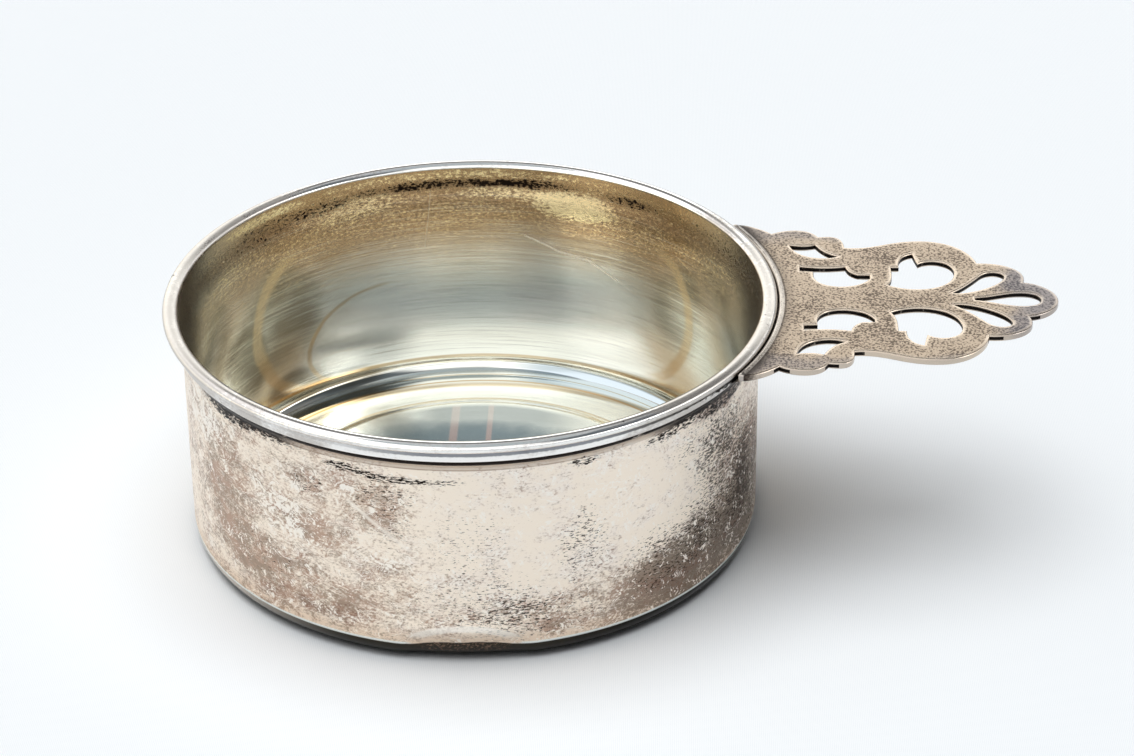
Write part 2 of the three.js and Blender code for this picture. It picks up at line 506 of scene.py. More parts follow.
@dataclass(frozen=True)
class OutsideSilver:
    """Satin outside of the bowl, brushed round, with brown film, scratches, dashes and smudges."""

    clean: Colour = tone(238, 226, 211)
    cool: Colour = tone(231, 225, 223)
    film: Colour = tone(142, 120, 102)
    pink: Colour = tone(166, 135, 115)
    rust: Colour = tone(122, 84, 66)
    rubbed: Colour = tone(240, 235, 227)
    speck: Colour = tone(54, 45, 38)
    smudge: Colour = tone(30, 24, 22)
    tan: Colour = tone(226, 204, 182)
    deep: Colour = tone(92, 76, 62)
    # corner, under and edge paint the foot's bend: tarnish darkened by painted shade, near-black
    # painted shade, and a painted highlight.
    corner: Colour = tone(58, 54, 48)
    under: Colour = tone(30, 26, 22)
    edge: Colour = tone(232, 240, 238)
    corner_height: float = 3.3
    corner_soft: float = 0.15
    line_height: float = 36.97
    line_half: float = 0.06
    line_turn: Span = (-36.0, 26.0, 10.0)
    seam_low: float = 38.35
    seam_high: float = 39.3
    open_seam_turn: Span = (-12.0, 24.0, 10.0)
    left_wedge_turn: Span = (-55.0, -37.0, 9.0)
    right_wedge_turn: Span = (46.0, 76.0, 9.0)
    wedge_height: Span = (36.9, 40.0, 0.7)
    deep_turn: Span = (50.0, 110.0, 28.0)
    # The foot's band is painted lighter on the lit left and painted darker in shade on the right.
    lit_corner_turn: Span = (-120.0, -64.0, 42.0)
    shaded_corner_turn: Span = (40.0, 120.0, 30.0)
    underside_radius: float = 42.9
    underside_height: float = 2.7
    rough: float = 0.4

    def make(self) -> bpy.types.Material:
        """Builds the material."""
        on = Surface("bowl_outside")
        graph = on.graph
        brush = on.noise((0.05, 0.05, 3.2), 4.0)
        mottle = on.noise((0.15, 0.15, 0.2), 8.0, 0.7)
        grain = on.noise((1.9, 1.9, 3.0), 3.0, 0.7)
        clump = on.noise((0.28, 0.28, 0.5))
        dash = on.noise((1.3, 1.3, 4.4), 2.0, 0.6)
        drawn = on.noise((0.5, 0.5, 3.0), 3.0, 0.6)

        # Scratches and worn places, then the film and specks that they cut through.
        sway = clump.swing(5)
        worked = on.patches(OUTSIDE_RUBBED)
        scuff = on.scratched(OUTSIDE_SCUFFS, sway) + worked * 0.05
        rubbed = scuff.rise(0.7, 0.79) * (0.25 + worked * 0.6)
        rubbed = rubbed.higher(on.strokes(OUTSIDE_STROKES))
        smear = on.scratches(-24, 4.5, 0.5, sway) + on.scratches(58, 4.0, 0.45, sway) - 1
        worn = (on.patches(OUTSIDE_WORN) + smear * 3.2 + mottle.swing(2)).rise(0.5, 0.85)
        film = on.patches(OUTSIDE_FILM) + mottle.swing(2.4) + grain.swing(2.2) - smear * 1.3
        film = (film + drawn.swing(1.2)).rise(0.1, 1.2) * (1 - rubbed * 0.7) * (1 - worn)
        rust = (on.patches(OUTSIDE_RUST) + mottle.swing(3) + grain.swing(2)).rise(0.3, 1.1)
        dense = on.patches(OUTSIDE_SPECKS) * (0.3 + clump * 1.4)
        speck = (dash + dense * 0.17).rise(0.69, 0.75) * dense.rise(0.02, 0.25)
        speck = speck * (1 - rubbed * 0.8) * (1 - worn)
        smudge = dash * 0.6 + drawn * 0.2 + clump * 0.2 + on.patches(OUTSIDE_SMUDGES) * 0.25
        smudge = smudge.rise(0.64, 0.74)

        # Black seam under the rim, and the thin line where the wall begins to spread.
        seam = on.height.within(self.seam_low, self.seam_high, 0.12)
        seam = seam * (clump + 0.12 + on.turn.within(*self.open_seam_turn) * 0.25).rise(0.44, 0.56)
        wedge = on.turn.within(*self.left_wedge_turn) + on.turn.within(*self.right_wedge_turn)
        seam = seam.higher((on.height + dash.swing(5)).within(*self.wedge_height) * wedge)
        low, high = self.line_height - self.line_half, self.line_height + self.line_half
        line = on.height.within(low, high, 0.12) * on.turn.within(*self.line_turn)
        line = line * (clump + 0.1).rise(0.4, 0.6)
        shaded = on.height.within(self.line_height, self.seam_low, 0.15)

        # Dark bend at the foot, tarnish darkened by painted shade, with painted highlights along
        # its top and on the ledge of the knock at its front, and the underside.
        knock = on.oval(DENT)
        # Painted highlight on the ledge above the knock, in the rubbed colour.
        knock_ledge_highlight = knock.within(0.9, 1.25, 0.2) * on.height.rise(4.0, 5.5)
        bend = on.height + mottle.swing(0.6) - knock.rise(1.0, 0.2) * 0.7
        level, soft = self.corner_height, self.corner_soft
        bend = bend.rise(level + soft, level - soft)
        # Painted highlight: a pale line along the top of the bend.
        lit = on.height.within(level, level + 0.25, soft)
        lit = lit * knock.rise(0.9, 1.3)
        # Painted shade on the bend over its darker tarnish: lighter on the lit left, near black on
        # the shaded right.
        painted_shade_band = graph.layers(
            self.corner,
            (on.turn.within(*self.lit_corner_turn) * 0.7, self.clean),
            (on.turn.within(*self.shaded_corner_turn) * 0.95, self.under),
            (knock.rise(0.9, 0.3) * grain.rise(0.5, 0.62) * 0.5, self.pink),
        )
        beneath = on.radius.rise(self.underside_radius + 1, self.underside_radius)
        beneath = beneath * on.height.rise(self.underside_height + 0.5, self.underside_height)
        underside = graph.blend(mottle.rise(0.4, 0.64) * 0.14 + 0.24, self.corner, self.cool)

        stain = graph.layers(
            self.film,
            (clump.rise(0.4, 0.6), self.pink),
            (on.turn.within(*self.deep_turn) * on.height.rise(26.0, 12.0), self.deep),
        )
        colour = graph.layers(
            self.clean,
            (mottle.rise(0.42, 0.66) * 0.35, self.cool),
            (on.height.rise(7.0, 4.0) * 0.8, self.tan),
            (film * 0.85, stain),
            (rust * 0.6, self.rust),
            (rubbed * 0.5 + worn * 0.7, self.rubbed),
            (speck * 0.9, self.speck),
            (shaded * 0.4, self.film),
            (line * 0.6, self.film),
            (smudge.higher(seam), self.smudge),
            (knock_ledge_highlight * 0.7, self.rubbed),
            (bend, painted_shade_band),
            # Painted shade, near black at the very bottom where the wall meets the cloth.
            (on.height.rise(1.7, 0.6), self.under),
            (beneath, underside),
            (lit * 0.8, self.edge),
        )
        rough = self.rough + film * 0.08 + speck * 0.12 + brush.swing(0.12)
        rough = rough - bend * 0.2 - lit * 0.15
        height = brush * 0.6 - speck * 0.5 - rubbed * 0.3
        return on.close(colour, rough, graph.bump(height, 0.3, 0.012), brushed=0.4)


INSIDE_LINE = (
    Patch(-12, 39.4, 26, 1.3, 1.0),
    Patch(10, 39.4, 14, 1.3, 0.9),
    Patch(33, 39.3, 9, 1.3, 0.9),
    Patch(-36, 38.6, 9, 1.8, 0.75),
    Patch(-52, 38.4, 16, 3.0, 0.6),
    Patch(62, 39.5, 26, 2.4, 0.5),
)
# Places of painted golden highlights on the film.
INSIDE_GLINTS = (
    Patch(20, 36.2, 13, 3.8, 1.3),
    Patch(4, 37.6, 14, 1.8, 0.7),
    Patch(-30, 37.2, 16, 3.6, 0.75),
    Patch(-52, 41.0, 16, 1.4, 0.9),
    Patch(-5, 41.2, 40, 1.2, 0.6),
)
# Places of painted shade on the inside wall.
INSIDE_SHADE = (
    Patch(-51, 20, 16, 16, 0.85),
    Patch(-62, 14, 9, 10, 0.9),
    Patch(-72, 25, 10, 12, 0.6),
    Patch(-37, 20, 12, 10, 0.25),
    Patch(-46, 5, 11, 4.5, 0.9),
    Patch(-34, 2.6, 16, 2.6, 0.8),
    Patch(47, 21, 11, 13, 0.6),
    Patch(58, 30, 14, 8, 0.6),
    Patch(25, 28.0, 16, 4, 0.4),
)
RIGHT_ARC = Patch(30, 19.5, 21.3, 16.7)
LEFT_ARC = Patch(-30, 18, 27, 18)
INNER_ARC = Patch(-20, 10, 22, 10.7)
INSIDE_SCRATCHES = ((8, 7.0, 0.13), (-40, 5.0, 0.13))
INSIDE_STROKES = (
    Stroke((9.1, 29.0), (15.9, 26.7), 0.2),
    Stroke((15.9, 26.7), (23.0, 25.7), 0.2),
    Stroke((23.0, 25.7), (29.6, 23.1), 0.18),
    Stroke((-12.0, 37.5), (-13.5, 27.5), 0.14, 0.2),
)


@dataclass(frozen=True)
class InsideSilver:
    """Satin inside of the bowl, polished at the bottom, with a golden brown film up its wall."""

    clean: Colour = tone(240, 241, 234)
    film: Colour = tone(180, 150, 114)
    dark: Colour = tone(92, 72, 52)
    # Colour of the film's gold flecks and of the painted golden highlights.
    gold_glint: Colour = tone(255, 236, 192)
    # Colour of the painted shade on the wall, and of the brush streaks.
    olive: Colour = tone(126, 118, 98)
    arc: Colour = tone(206, 184, 146)
    # The disc, streak and cove colours paint reflections on the disc and in the cove.
    disc: Colour = tone(84, 104, 116)
    reflected_streak: Colour = tone(170, 138, 134)
    cove: Colour = tone(190, 201, 205)
    speck: Colour = tone(28, 21, 16)
    scratch: Colour = tone(250, 242, 224)
    ring: Colour = tone(196, 172, 132)
    film_low: float = 17.0
    film_full: float = 33.0
    streak_height: Span = (6.0, 36.0, 4.0)
    arc_height: Span = (6.5, 30.0, 4.0)
    bend_ring: Span = (3.3, 3.7, 0.25)
    slope_ring: Span = (43.85, 44.25, 0.15)
    step_ring: Span = (36.4, 36.8, 0.12)
    cove_radius: Span = (44.4, 48.4, 0.4)
    cove_turn: Span = (14.0, 90.0, 12.0)
    reflection_middle: Point = (-1.0, 18.0)
    reflection_squares: Point = (480.0, 170.0)  # squares of its half sizes
    reflection_radius: float = 32.5
    far_edge_side: Span = (-7.0, 10.0, 11.0)
    left_reflected_streak_side: Span = (-5.8, -4.8, 0.5)
    right_reflected_streak_side: Span = (0.9, 1.5, 0.4)
    rough: float = 0.07
    satin: float = 0.2

    def make(self) -> bpy.types.Material:
        """Builds the material."""
        on = Surface("bowl_inside", Side.BACK)
        graph = on.graph
        brush = on.noise((0.04, 0.04, 3.5), 4.0)
        cloud = on.noise((0.06, 0.06, 0.08), 4.0)
        clump = on.noise((0.3, 0.3, 0.6))
        drawn = on.noise((0.4, 0.4, 2.2), 5.0, 0.7)
        fleck = on.noise((1.5, 1.5, 3.0), 3.0, 0.7)
        grain = fleck * 0.75 + drawn * 0.25
        fine_brush = on.noise((0.07, 0.07, 5.5), 5.0, 0.65)

        # Film up the wall, mottled under the rim, and the black line along it; painted shade and
        # painted golden highlights on the wall.
        back = (on.y + 10).rise(-25.0, 5.0) * 0.7 + 0.3
        aside = graph.math("ABSOLUTE", on.turn).rise(45.0, 80.0)
        level = on.height + cloud.swing(8) + grain.swing(3) + brush.swing(7)
        film = level.rise(self.film_low, self.film_full) * back * (1 - aside * 0.45)
        # Painted shade: olive darkening on both sides of the wall, standing in for darker
        # reflections.
        shade = (on.patches(INSIDE_SHADE) + cloud.swing(0.8) + brush.swing(0.5)).rise(0.1, 1.0)
        shade = shade * on.radius.rise(10.0, 27.0)
        mottle = on.height.rise(25.0, 35.0) * on.height.rise(41.8, 39.5)
        # Gold flecks in the mottled film, with painted golden highlights at the glint places.
        light = (grain.swing(6) + 0.05).rise(0.0, 1.0) * mottle * 0.6
        light = light.higher((on.patches(INSIDE_GLINTS) + grain.swing(5)).rise(0.2, 1.3))
        deep = grain.swing(-6).rise(0.0, 1.0) * mottle
        ragged = on.patches(INSIDE_LINE) * (clump * 1.4 + 0.3)
        speck = (fleck + ragged * 0.19).rise(0.63, 0.7) * ragged.rise(0.02, 0.2)

        # Scratches, and the bent streaks of light at both sides.
        mark = on.strokes(INSIDE_STROKES)
        fine = on.scratched(INSIDE_SCRATCHES, clump.swing(4)).rise(0.74, 0.82) * film
        bent = cloud.swing(0.3)
        right_arc = (on.oval(RIGHT_ARC) + bent).within(0.88, 0.99, 0.12) * on.turn.rise(33.0, 44.0)
        left_arc = (on.oval(LEFT_ARC) + bent).within(0.92, 1.03, 0.13) * on.turn.rise(-38.0, -48.0)
        inner_arc = (on.oval(INNER_ARC) + bent).within(0.98, 1.02, 0.06)
        inner_arc = inner_arc * on.turn.rise(-19.0, -26.0)
        arcs = right_arc * 0.7 + left_arc * 0.7 + inner_arc * 0.75
        arcs = arcs * on.height.within(*self.arc_height) * (drawn * 0.8 + cloud * 1.2 - 0.1)

        # Rings at the bottom, a painted blue-grey reflection in the cove, and a painted dark
        # reflection with two painted pinkish streaks on the disc.
        low = on.height.rise(3.3, 2.4)
        ring = on.radius.within(*self.slope_ring) + on.radius.within(*self.step_ring) * 0.8
        ring = ring * on.height.rise(3.0, 2.0) + on.height.within(*self.bend_ring) * 0.9
        # Painted blue-grey reflection in the cove on the right.
        cove = on.radius.within(*self.cove_radius) * low * on.turn.within(*self.cove_turn)
        # Painted dark reflection on the disc, with a darker strip towards its far edge.
        across = on.x - self.reflection_middle[0]
        along = on.y - self.reflection_middle[1]
        painted_dark_reflection = across * across / self.reflection_squares[0] + along * along / self.reflection_squares[1]
        painted_dark_reflection = (painted_dark_reflection + cloud.swing(0.4) + clump.swing(0.3)).rise(1.3, 0.15)
        far_edge = on.x.within(*self.far_edge_side) * (on.y + cloud.swing(12)).rise(12.0, 24.0)
        painted_dark_reflection = painted_dark_reflection.higher(far_edge * 0.62) * low
        painted_dark_reflection = painted_dark_reflection * on.radius.rise(self.reflection_radius + 1.5, self.reflection_radius)
        # Two painted pinkish reflected streaks across the disc.
        reflected_streak = on.x.within(*self.left_reflected_streak_side) + on.x.within(*self.right_reflected_streak_side)

        streak = on.height.within(*self.streak_height)
        colour = graph.layers(
            self.clean,
            (film, self.film),
            (shade * 0.9, self.olive),
            (fine_brush.rise(0.5, 0.7) * streak * 0.3, self.olive),
            (fine_brush.rise(0.5, 0.32) * streak * 0.35, self.clean),
            (deep * 0.55, self.dark),
            (light * film.rise(0.0, 0.8), self.gold_glint),
            (arcs, self.arc),
            (speck, self.speck),
            (mark.higher(fine * 0.5), self.scratch),
            (cove, self.cove),
            (painted_dark_reflection * 0.9, graph.blend(reflected_streak * 0.6, self.disc, self.reflected_streak)),
            (ring * 0.8, self.ring),
        )
        rough = self.rough + on.height.rise(3.6, 6.5) * (self.satin - self.rough)
        rough = rough + film * 0.06 + speck * 0.2 + brush.swing(0.06) + mark * 0.2
        height = brush * 0.6 - speck * 0.4 - mark * 0.6
        return on.close(colour, rough, graph.bump(height, 0.2, 0.01), brushed=0.6)


RIM_SPECKS = (
    Patch(62, 41.3, 24, 1.0, 1.0),
    Patch(58, 40.6, 24, 0.9, 1.3),
    Patch(63, 40.1, 12, 1.3, 1.5),
    Patch(80, 42.2, 14, 1.6, 0.8),
    Patch(-45, 41.0, 22, 0.7, 0.6),
    Patch(0, 41.0, 30, 0.6, 0.4),
    Patch(115, 41.6, 20, 1.4, 0.7),
    Patch(170, 41.4, 40, 0.9, 0.6),
    Patch(-130, 41.4, 40, 0.9, 0.6),
)


@dataclass(frozen=True)
class RimSilver:
    """Bright worn silver of the two rim wires."""

    clean: Colour = tone(243, 241, 238)
    film: Colour = tone(182, 175, 168)
    # low and shadow paint shade on the bead's lower face, its inner side and its front edge.
    low: Colour = tone(104, 108, 116)
    shadow: Colour = tone(96, 98, 98)
    speck: Colour = tone(36, 32, 30)
    groove_height: Span = (40.5, 41.6, 0.2)
    groove_turn: Span = (-4.0, 110.0, 24.0)
    tarnish_turn: Span = (38.0, 75.0, 14.0)
    right_film_turn: Span = (45.0, 120.0, 20.0)
    left_film_turn: Span = (-130.0, -40.0, 25.0)
    dull_turn: Span = (-125.0, -62.0, 22.0)
    rough: float = 0.1

    def make(self) -> bpy.types.Material:
        """Builds the material."""
        on = Surface("rim_silver")
        graph = on.graph
        cloud = on.noise((0.12, 0.12, 0.3), 4.0)
        grain = on.noise((1.3, 1.3, 2.6), 3.0, 0.65)
        nick = on.noise((0.55, 0.55, 1.4), 2.0, 0.5)
        film = cloud + grain.swing(0.5) + on.turn.within(*self.right_film_turn) * 0.35
        film = (film + on.turn.within(*self.left_film_turn) * 0.3).rise(0.5, 0.85)
        dull = on.turn.within(*self.dull_turn) * 0.7

        # Tarnish with painted shade in the groove between the wires, and painted shade at the
        # inner edge and along the front edge.
        groove = (on.height + grain.swing(0.3)).within(*self.groove_height)
        groove = groove * (on.turn.within(*self.groove_turn) * 0.7 + 0.15)
        groove_tarnish_and_shade = graph.blend(on.turn.within(*self.tarnish_turn), self.low, self.speck)
        # Painted shade on the bead's inner side and along its front edge.
        inner_edge = on.radius.rise(50.35, 50.05) * on.height.rise(42.5, 42.0)
        inner_edge = inner_edge * on.height.rise(41.2, 41.36)
        front_edge = on.radius.rise(50.8, 50.5) * on.height.rise(42.3, 42.7)
        front_edge = front_edge * on.y.rise(-20.0, -40.0)

        speck = (grain + on.patches(RIM_SPECKS) * 0.17).rise(0.73, 0.8)
        speck = speck.higher(nick.rise(0.735, 0.76))
        colour = graph.layers(
            self.clean,
            ((film * 0.75).higher(dull), self.film),
            (groove, groove_tarnish_and_shade),
            (inner_edge.higher(front_edge) * 0.85, self.shadow),
            (speck, self.speck),
        )
        rough = self.rough + film * 0.16 + dull * 0.1 + speck * 0.25
        return on.close(colour, rough, graph.bump(grain * 0.5 - speck, 0.15, 0.012))


@dataclass(frozen=True)
class HandleSilver:
    """Tan, densely speckled silver of the handle, rubbed along its edges and bluer at its tip."""

    tan: Colour = tone(190, 172, 152)
    speck: Colour = tone(70, 56, 47)
    tip: Colour = tone(126, 124, 131)
    tip_speck: Colour = tone(84, 84, 92)
    root: Colour = tone(46, 37, 32)
    lip: Colour = tone(186, 178, 170)
    edge: Colour = tone(214, 200, 184)
    lip_inside: float = 52.6
    lip_outside: float = 53.6
    rough: float = 0.36

    def make(self) -> bpy.types.Material:
        """Builds the material."""
        on = Surface("handle_silver")
        graph = on.graph
        mottle = on.noise((0.12, 0.12, 0.12), 4.0)
        fleck = on.noise((2.3, 2.3, 2.3), 2.0, 0.6)
        gap = graph.node("ShaderNodeAttribute", {"attribute_name": Handle.GAP}, None, "Fac")
        rubbed = (gap + fleck.swing(0.7)).rise(0.75, 0.3)
        side = graph.math("ABSOLUTE", on.y)
        tip = (on.x + mottle.swing(14)).rise(87.0, 95.0)
        blue = tip.higher((side + mottle.swing(8)).rise(19.0, 23.0) * 0.6)
        speck = (fleck + mottle.swing(0.3) - rubbed * 0.2).rise(0.46, 0.6)
        corner = (side - on.radius + 41.0 + mottle.swing(10)).rise(4.0, 12.0)
        near_root = (on.radius + fleck.swing(2.5)).rise(56.0, 53.7) * (0.35 + corner * 0.6)
        lip = on.radius.within(self.lip_inside, self.lip_outside, 0.12)
        under_lip = on.radius.within(self.lip_outside + 0.1, self.lip_outside + 0.3, 0.2)
        colour = graph.layers(
            self.tan,
            (blue * 0.75, self.tip),
            (speck * 0.82, graph.blend(blue * 0.7, self.speck, self.tip_speck)),
            (rubbed * 0.6 * (1 - tip * 0.4), self.edge),
            (near_root, self.root),
            (under_lip * 0.6, self.root),
            (lip * 0.85, self.lip),
        )
        rough = self.rough + speck * 0.15 - rubbed * 0.12 - lip * 0.1
        return on.close(colour, rough, graph.bump(fleck * -0.5 - speck * 0.5, 0.3, 0.03))


@dataclass(frozen=True)
class SawnSilver:
    """Black, never polished walls of the piercings."""

    black: Colour = tone(26, 23, 22)
    bare: Colour = tone(120, 112, 104)
    rough: float = 0.5

    def make(self) -> bpy.types.Material:
        """Builds the material."""
        on = Surface("sawn_silver")
        teeth = on.noise((1.4, 1.4, 0.5))
        colour = on.graph.blend(teeth.rise(0.62, 0.72), self.black, self.bare)
        return on.close(colour, self.rough + teeth.swing(0.2), on.graph.bump(teeth, 0.3, 0.02))


@dataclass(frozen=True)
class SolderSilver:
    """Dull grey solder under the root of the handle."""

    clean: Colour = tone(140, 132, 122)
    dark: Colour = tone(64, 56, 50)
    rough: float = 0.5

    def make(self) -> bpy.types.Material:
        """Builds the material."""
        on = Surface("solder")
        lumps = on.noise((0.9, 0.9, 0.9))
        colour = on.graph.blend(lumps.rise(0.4, 0.7), self.clean, self.dark)
        return on.close(colour, self.rough + lumps * 0.15, on.graph.bump(lumps, 0.4, 0.08))


@dataclass(frozen=True)
class WhiteCloth:
    """Fine white cloth that the porringer stands on."""

    thread: Colour = tone(246, 250, 253)
    between: Colour = tone(220, 227, 234)
    pitch: float = 0.42
    lean: float = 0.7
    rough: float = 0.9

    def make(self) -> bpy.types.Material:
        """Builds the material."""
        on = Surface("white_cloth")
        graph = on.graph
        wave = 2 * math.pi / self.pitch * self.lean
        weft = graph.math("SINE", (on.x + on.y) * wave)
        warp = graph.math("SINE", (on.x - on.y) * wave)
        gap = (weft * warp).rise(0.2, 1.0)
        colour = graph.blend(gap * 0.8, self.thread, self.between)
        return on.close(colour, self.rough, None, metallic=0.0)


class Loops:
    """Flat outlines and what is done with them."""

    @staticmethod
    def bezier(points: Sequence[Point], count: int) -> Loop:
        """Samples a curve of any order.

        Args:
            points: Its control points.
            count: How many steps to take.

        Returns:
            The points after the first one.
        """
        made = []
        for step in range(1, count + 1):
            share = step / count
            level = list(points)
            while len(level) > 1:
                pairs = zip(level, level[1:])
                level = [
                    (a[0] + (b[0] - a[0]) * share, a[1] + (b[1] - a[1]) * share) for a, b in pairs
                ]
            made.append(level[0])
        return made

    @staticmethod
    def arc(centre: Point, radius: float, start: float, end: float, count: int) -> Loop:
        """Points on an arc, with angles in radians, both ends included."""
        x, y = centre
        angles = [start + (end - start) * step / count for step in range(count + 1)]
        return [(x + radius * math.cos(a), y + radius * math.sin(a)) for a in angles]

    @staticmethod
    def line(start: Point, end: Point, count: int) -> Loop:
        """Points on a straight line, without its start."""
        return Loops.bezier([start, end], count)

    @staticmethod
    def easing(start: Point, end: Point, count: int) -> Loop:
        """A soft S from one level to another, without its start."""
        shares = [step / count for step in range(1, count + 1)]
        wide, tall = end[0] - start[0], end[1] - start[1]
        return [
            (start[0] + wide * share, start[1] + tall * share * share * (3 - 2 * share))
            for share in shares
        ]

    @staticmethod
    def area(loop: Loop) -> float:
        """Signed area, above 0 where the outline runs anticlockwise."""
        pairs = zip(loop, loop[1:] + loop[:1])
        return sum(a[0] * b[1] - b[0] * a[1] for a, b in pairs) / 2

    @staticmethod
    def inset(loop: Loop, distance: float) -> Loop:
        """Moves an outline to its left and folds up the corners that would cross.

        Args:
            loop: The outline.
            distance: How far to move it.

        Returns:
            An outline with as many points.
        """
        old = [Vector(point) for point in loop]
        count = len(old)
        edges = [(old[(i + 1) % count] - old[i]).normalized() for i in range(count)]
        made = []
        for i in range(count):
            left = Vector((-edges[i - 1].y, edges[i - 1].x))
            right = Vector((-edges[i].y, edges[i].x))
            corner = (left + right) / max(0.25, 1 + left.dot(right))
            made.append(old[i] + corner * distance)
        most_rounds = 40
        for _ in range(most_rounds):
            steps = [made[(i + 1) % count] - made[i] for i in range(count)]
            crossed = [i for i in range(count) if steps[i].dot(edges[i]) < 0]
            if not crossed:
                break
            for i in crossed:
                after = (i + 1) % count
                middle = (made[i] + made[after]) / 2
                made[i] = middle
                made[after] = middle.copy()
        return [tuple(point) for point in made]

    @staticmethod
    def holds(loop: Loop, places: np.ndarray) -> np.ndarray:
        """Tells which of many places lie inside an outline."""
        x, y = places[:, 0], places[:, 1]
        inside = np.zeros(len(places), dtype=bool)
        for a, b in zip(loop, loop[1:] + loop[:1]):
            if a[1] != b[1]:
                level = (a[1] > y) != (b[1] > y)
                inside ^= level & (x < (b[0] - a[0]) * (y - a[1]) / (b[1] - a[1]) + a[0])
        return inside


class Maker:
    """Turns points into finished pieces of the part."""

    @staticmethod
    def mesh(name: str, points: Sequence[Sequence[float]], faces: Sequence) -> bpy.types.Mesh:
        """Makes a mesh of points in millimetres from the bowl's axis."""
        made = bpy.data.meshes.new(name)
        placed = [((x + AXIS_X) * MM, y * MM, z * MM) for x, y, z in points]
        made.from_pydata(placed, [], faces)
        return made

    @staticmethod
    def tidy(mesh: bpy.types.Mesh, sharp: float, weld: float = 0.002) -> None:
        """Welds, closes and smooths a mesh, with its faces outwards.

        Args:
            mesh: The mesh.
            sharp: Angle in degrees from which an edge stays sharp.
            weld: Distance in millimetres at which points become one.
        """
        work = bmesh.new()
        work.from_mesh(mesh)
        bmesh.ops.remove_doubles(work, verts=work.verts, dist=weld * MM)
        bmesh.ops.dissolve_degenerate(work, dist=weld * MM / 10, edges=work.edges)
        open_edges = [edge for edge in work.edges if edge.is_boundary]
        if open_edges:
            bmesh.ops.holes_fill(work, edges=open_edges)
        bmesh.ops.recalc_face_normals(work, faces=work.faces)
        for face in work.faces:
            face.smooth = True
        work.to_mesh(mesh)
        work.free()
        mesh.set_sharp_from_angle(angle=math.radians(sharp))

    @staticmethod
    def piece(name: str, mesh: bpy.types.Mesh, slot: Slot) -> bpy.types.Object:
        """Puts a mesh in the scene in place of the CAD node of the same name.

        Args:
            name: Name of the node that it stands for.
            mesh: The mesh, in place.
            slot: The record's material slot. Not used.

        Returns:
            The piece.
        """
        made = bpy.data.objects.new(name + "_silver", mesh)
        bpy.context.scene.collection.objects.link(made)
        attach(made, BODY)
        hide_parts(name)
        LOG.info("%s: %d faces", made.name, len(mesh.polygons))
        return made


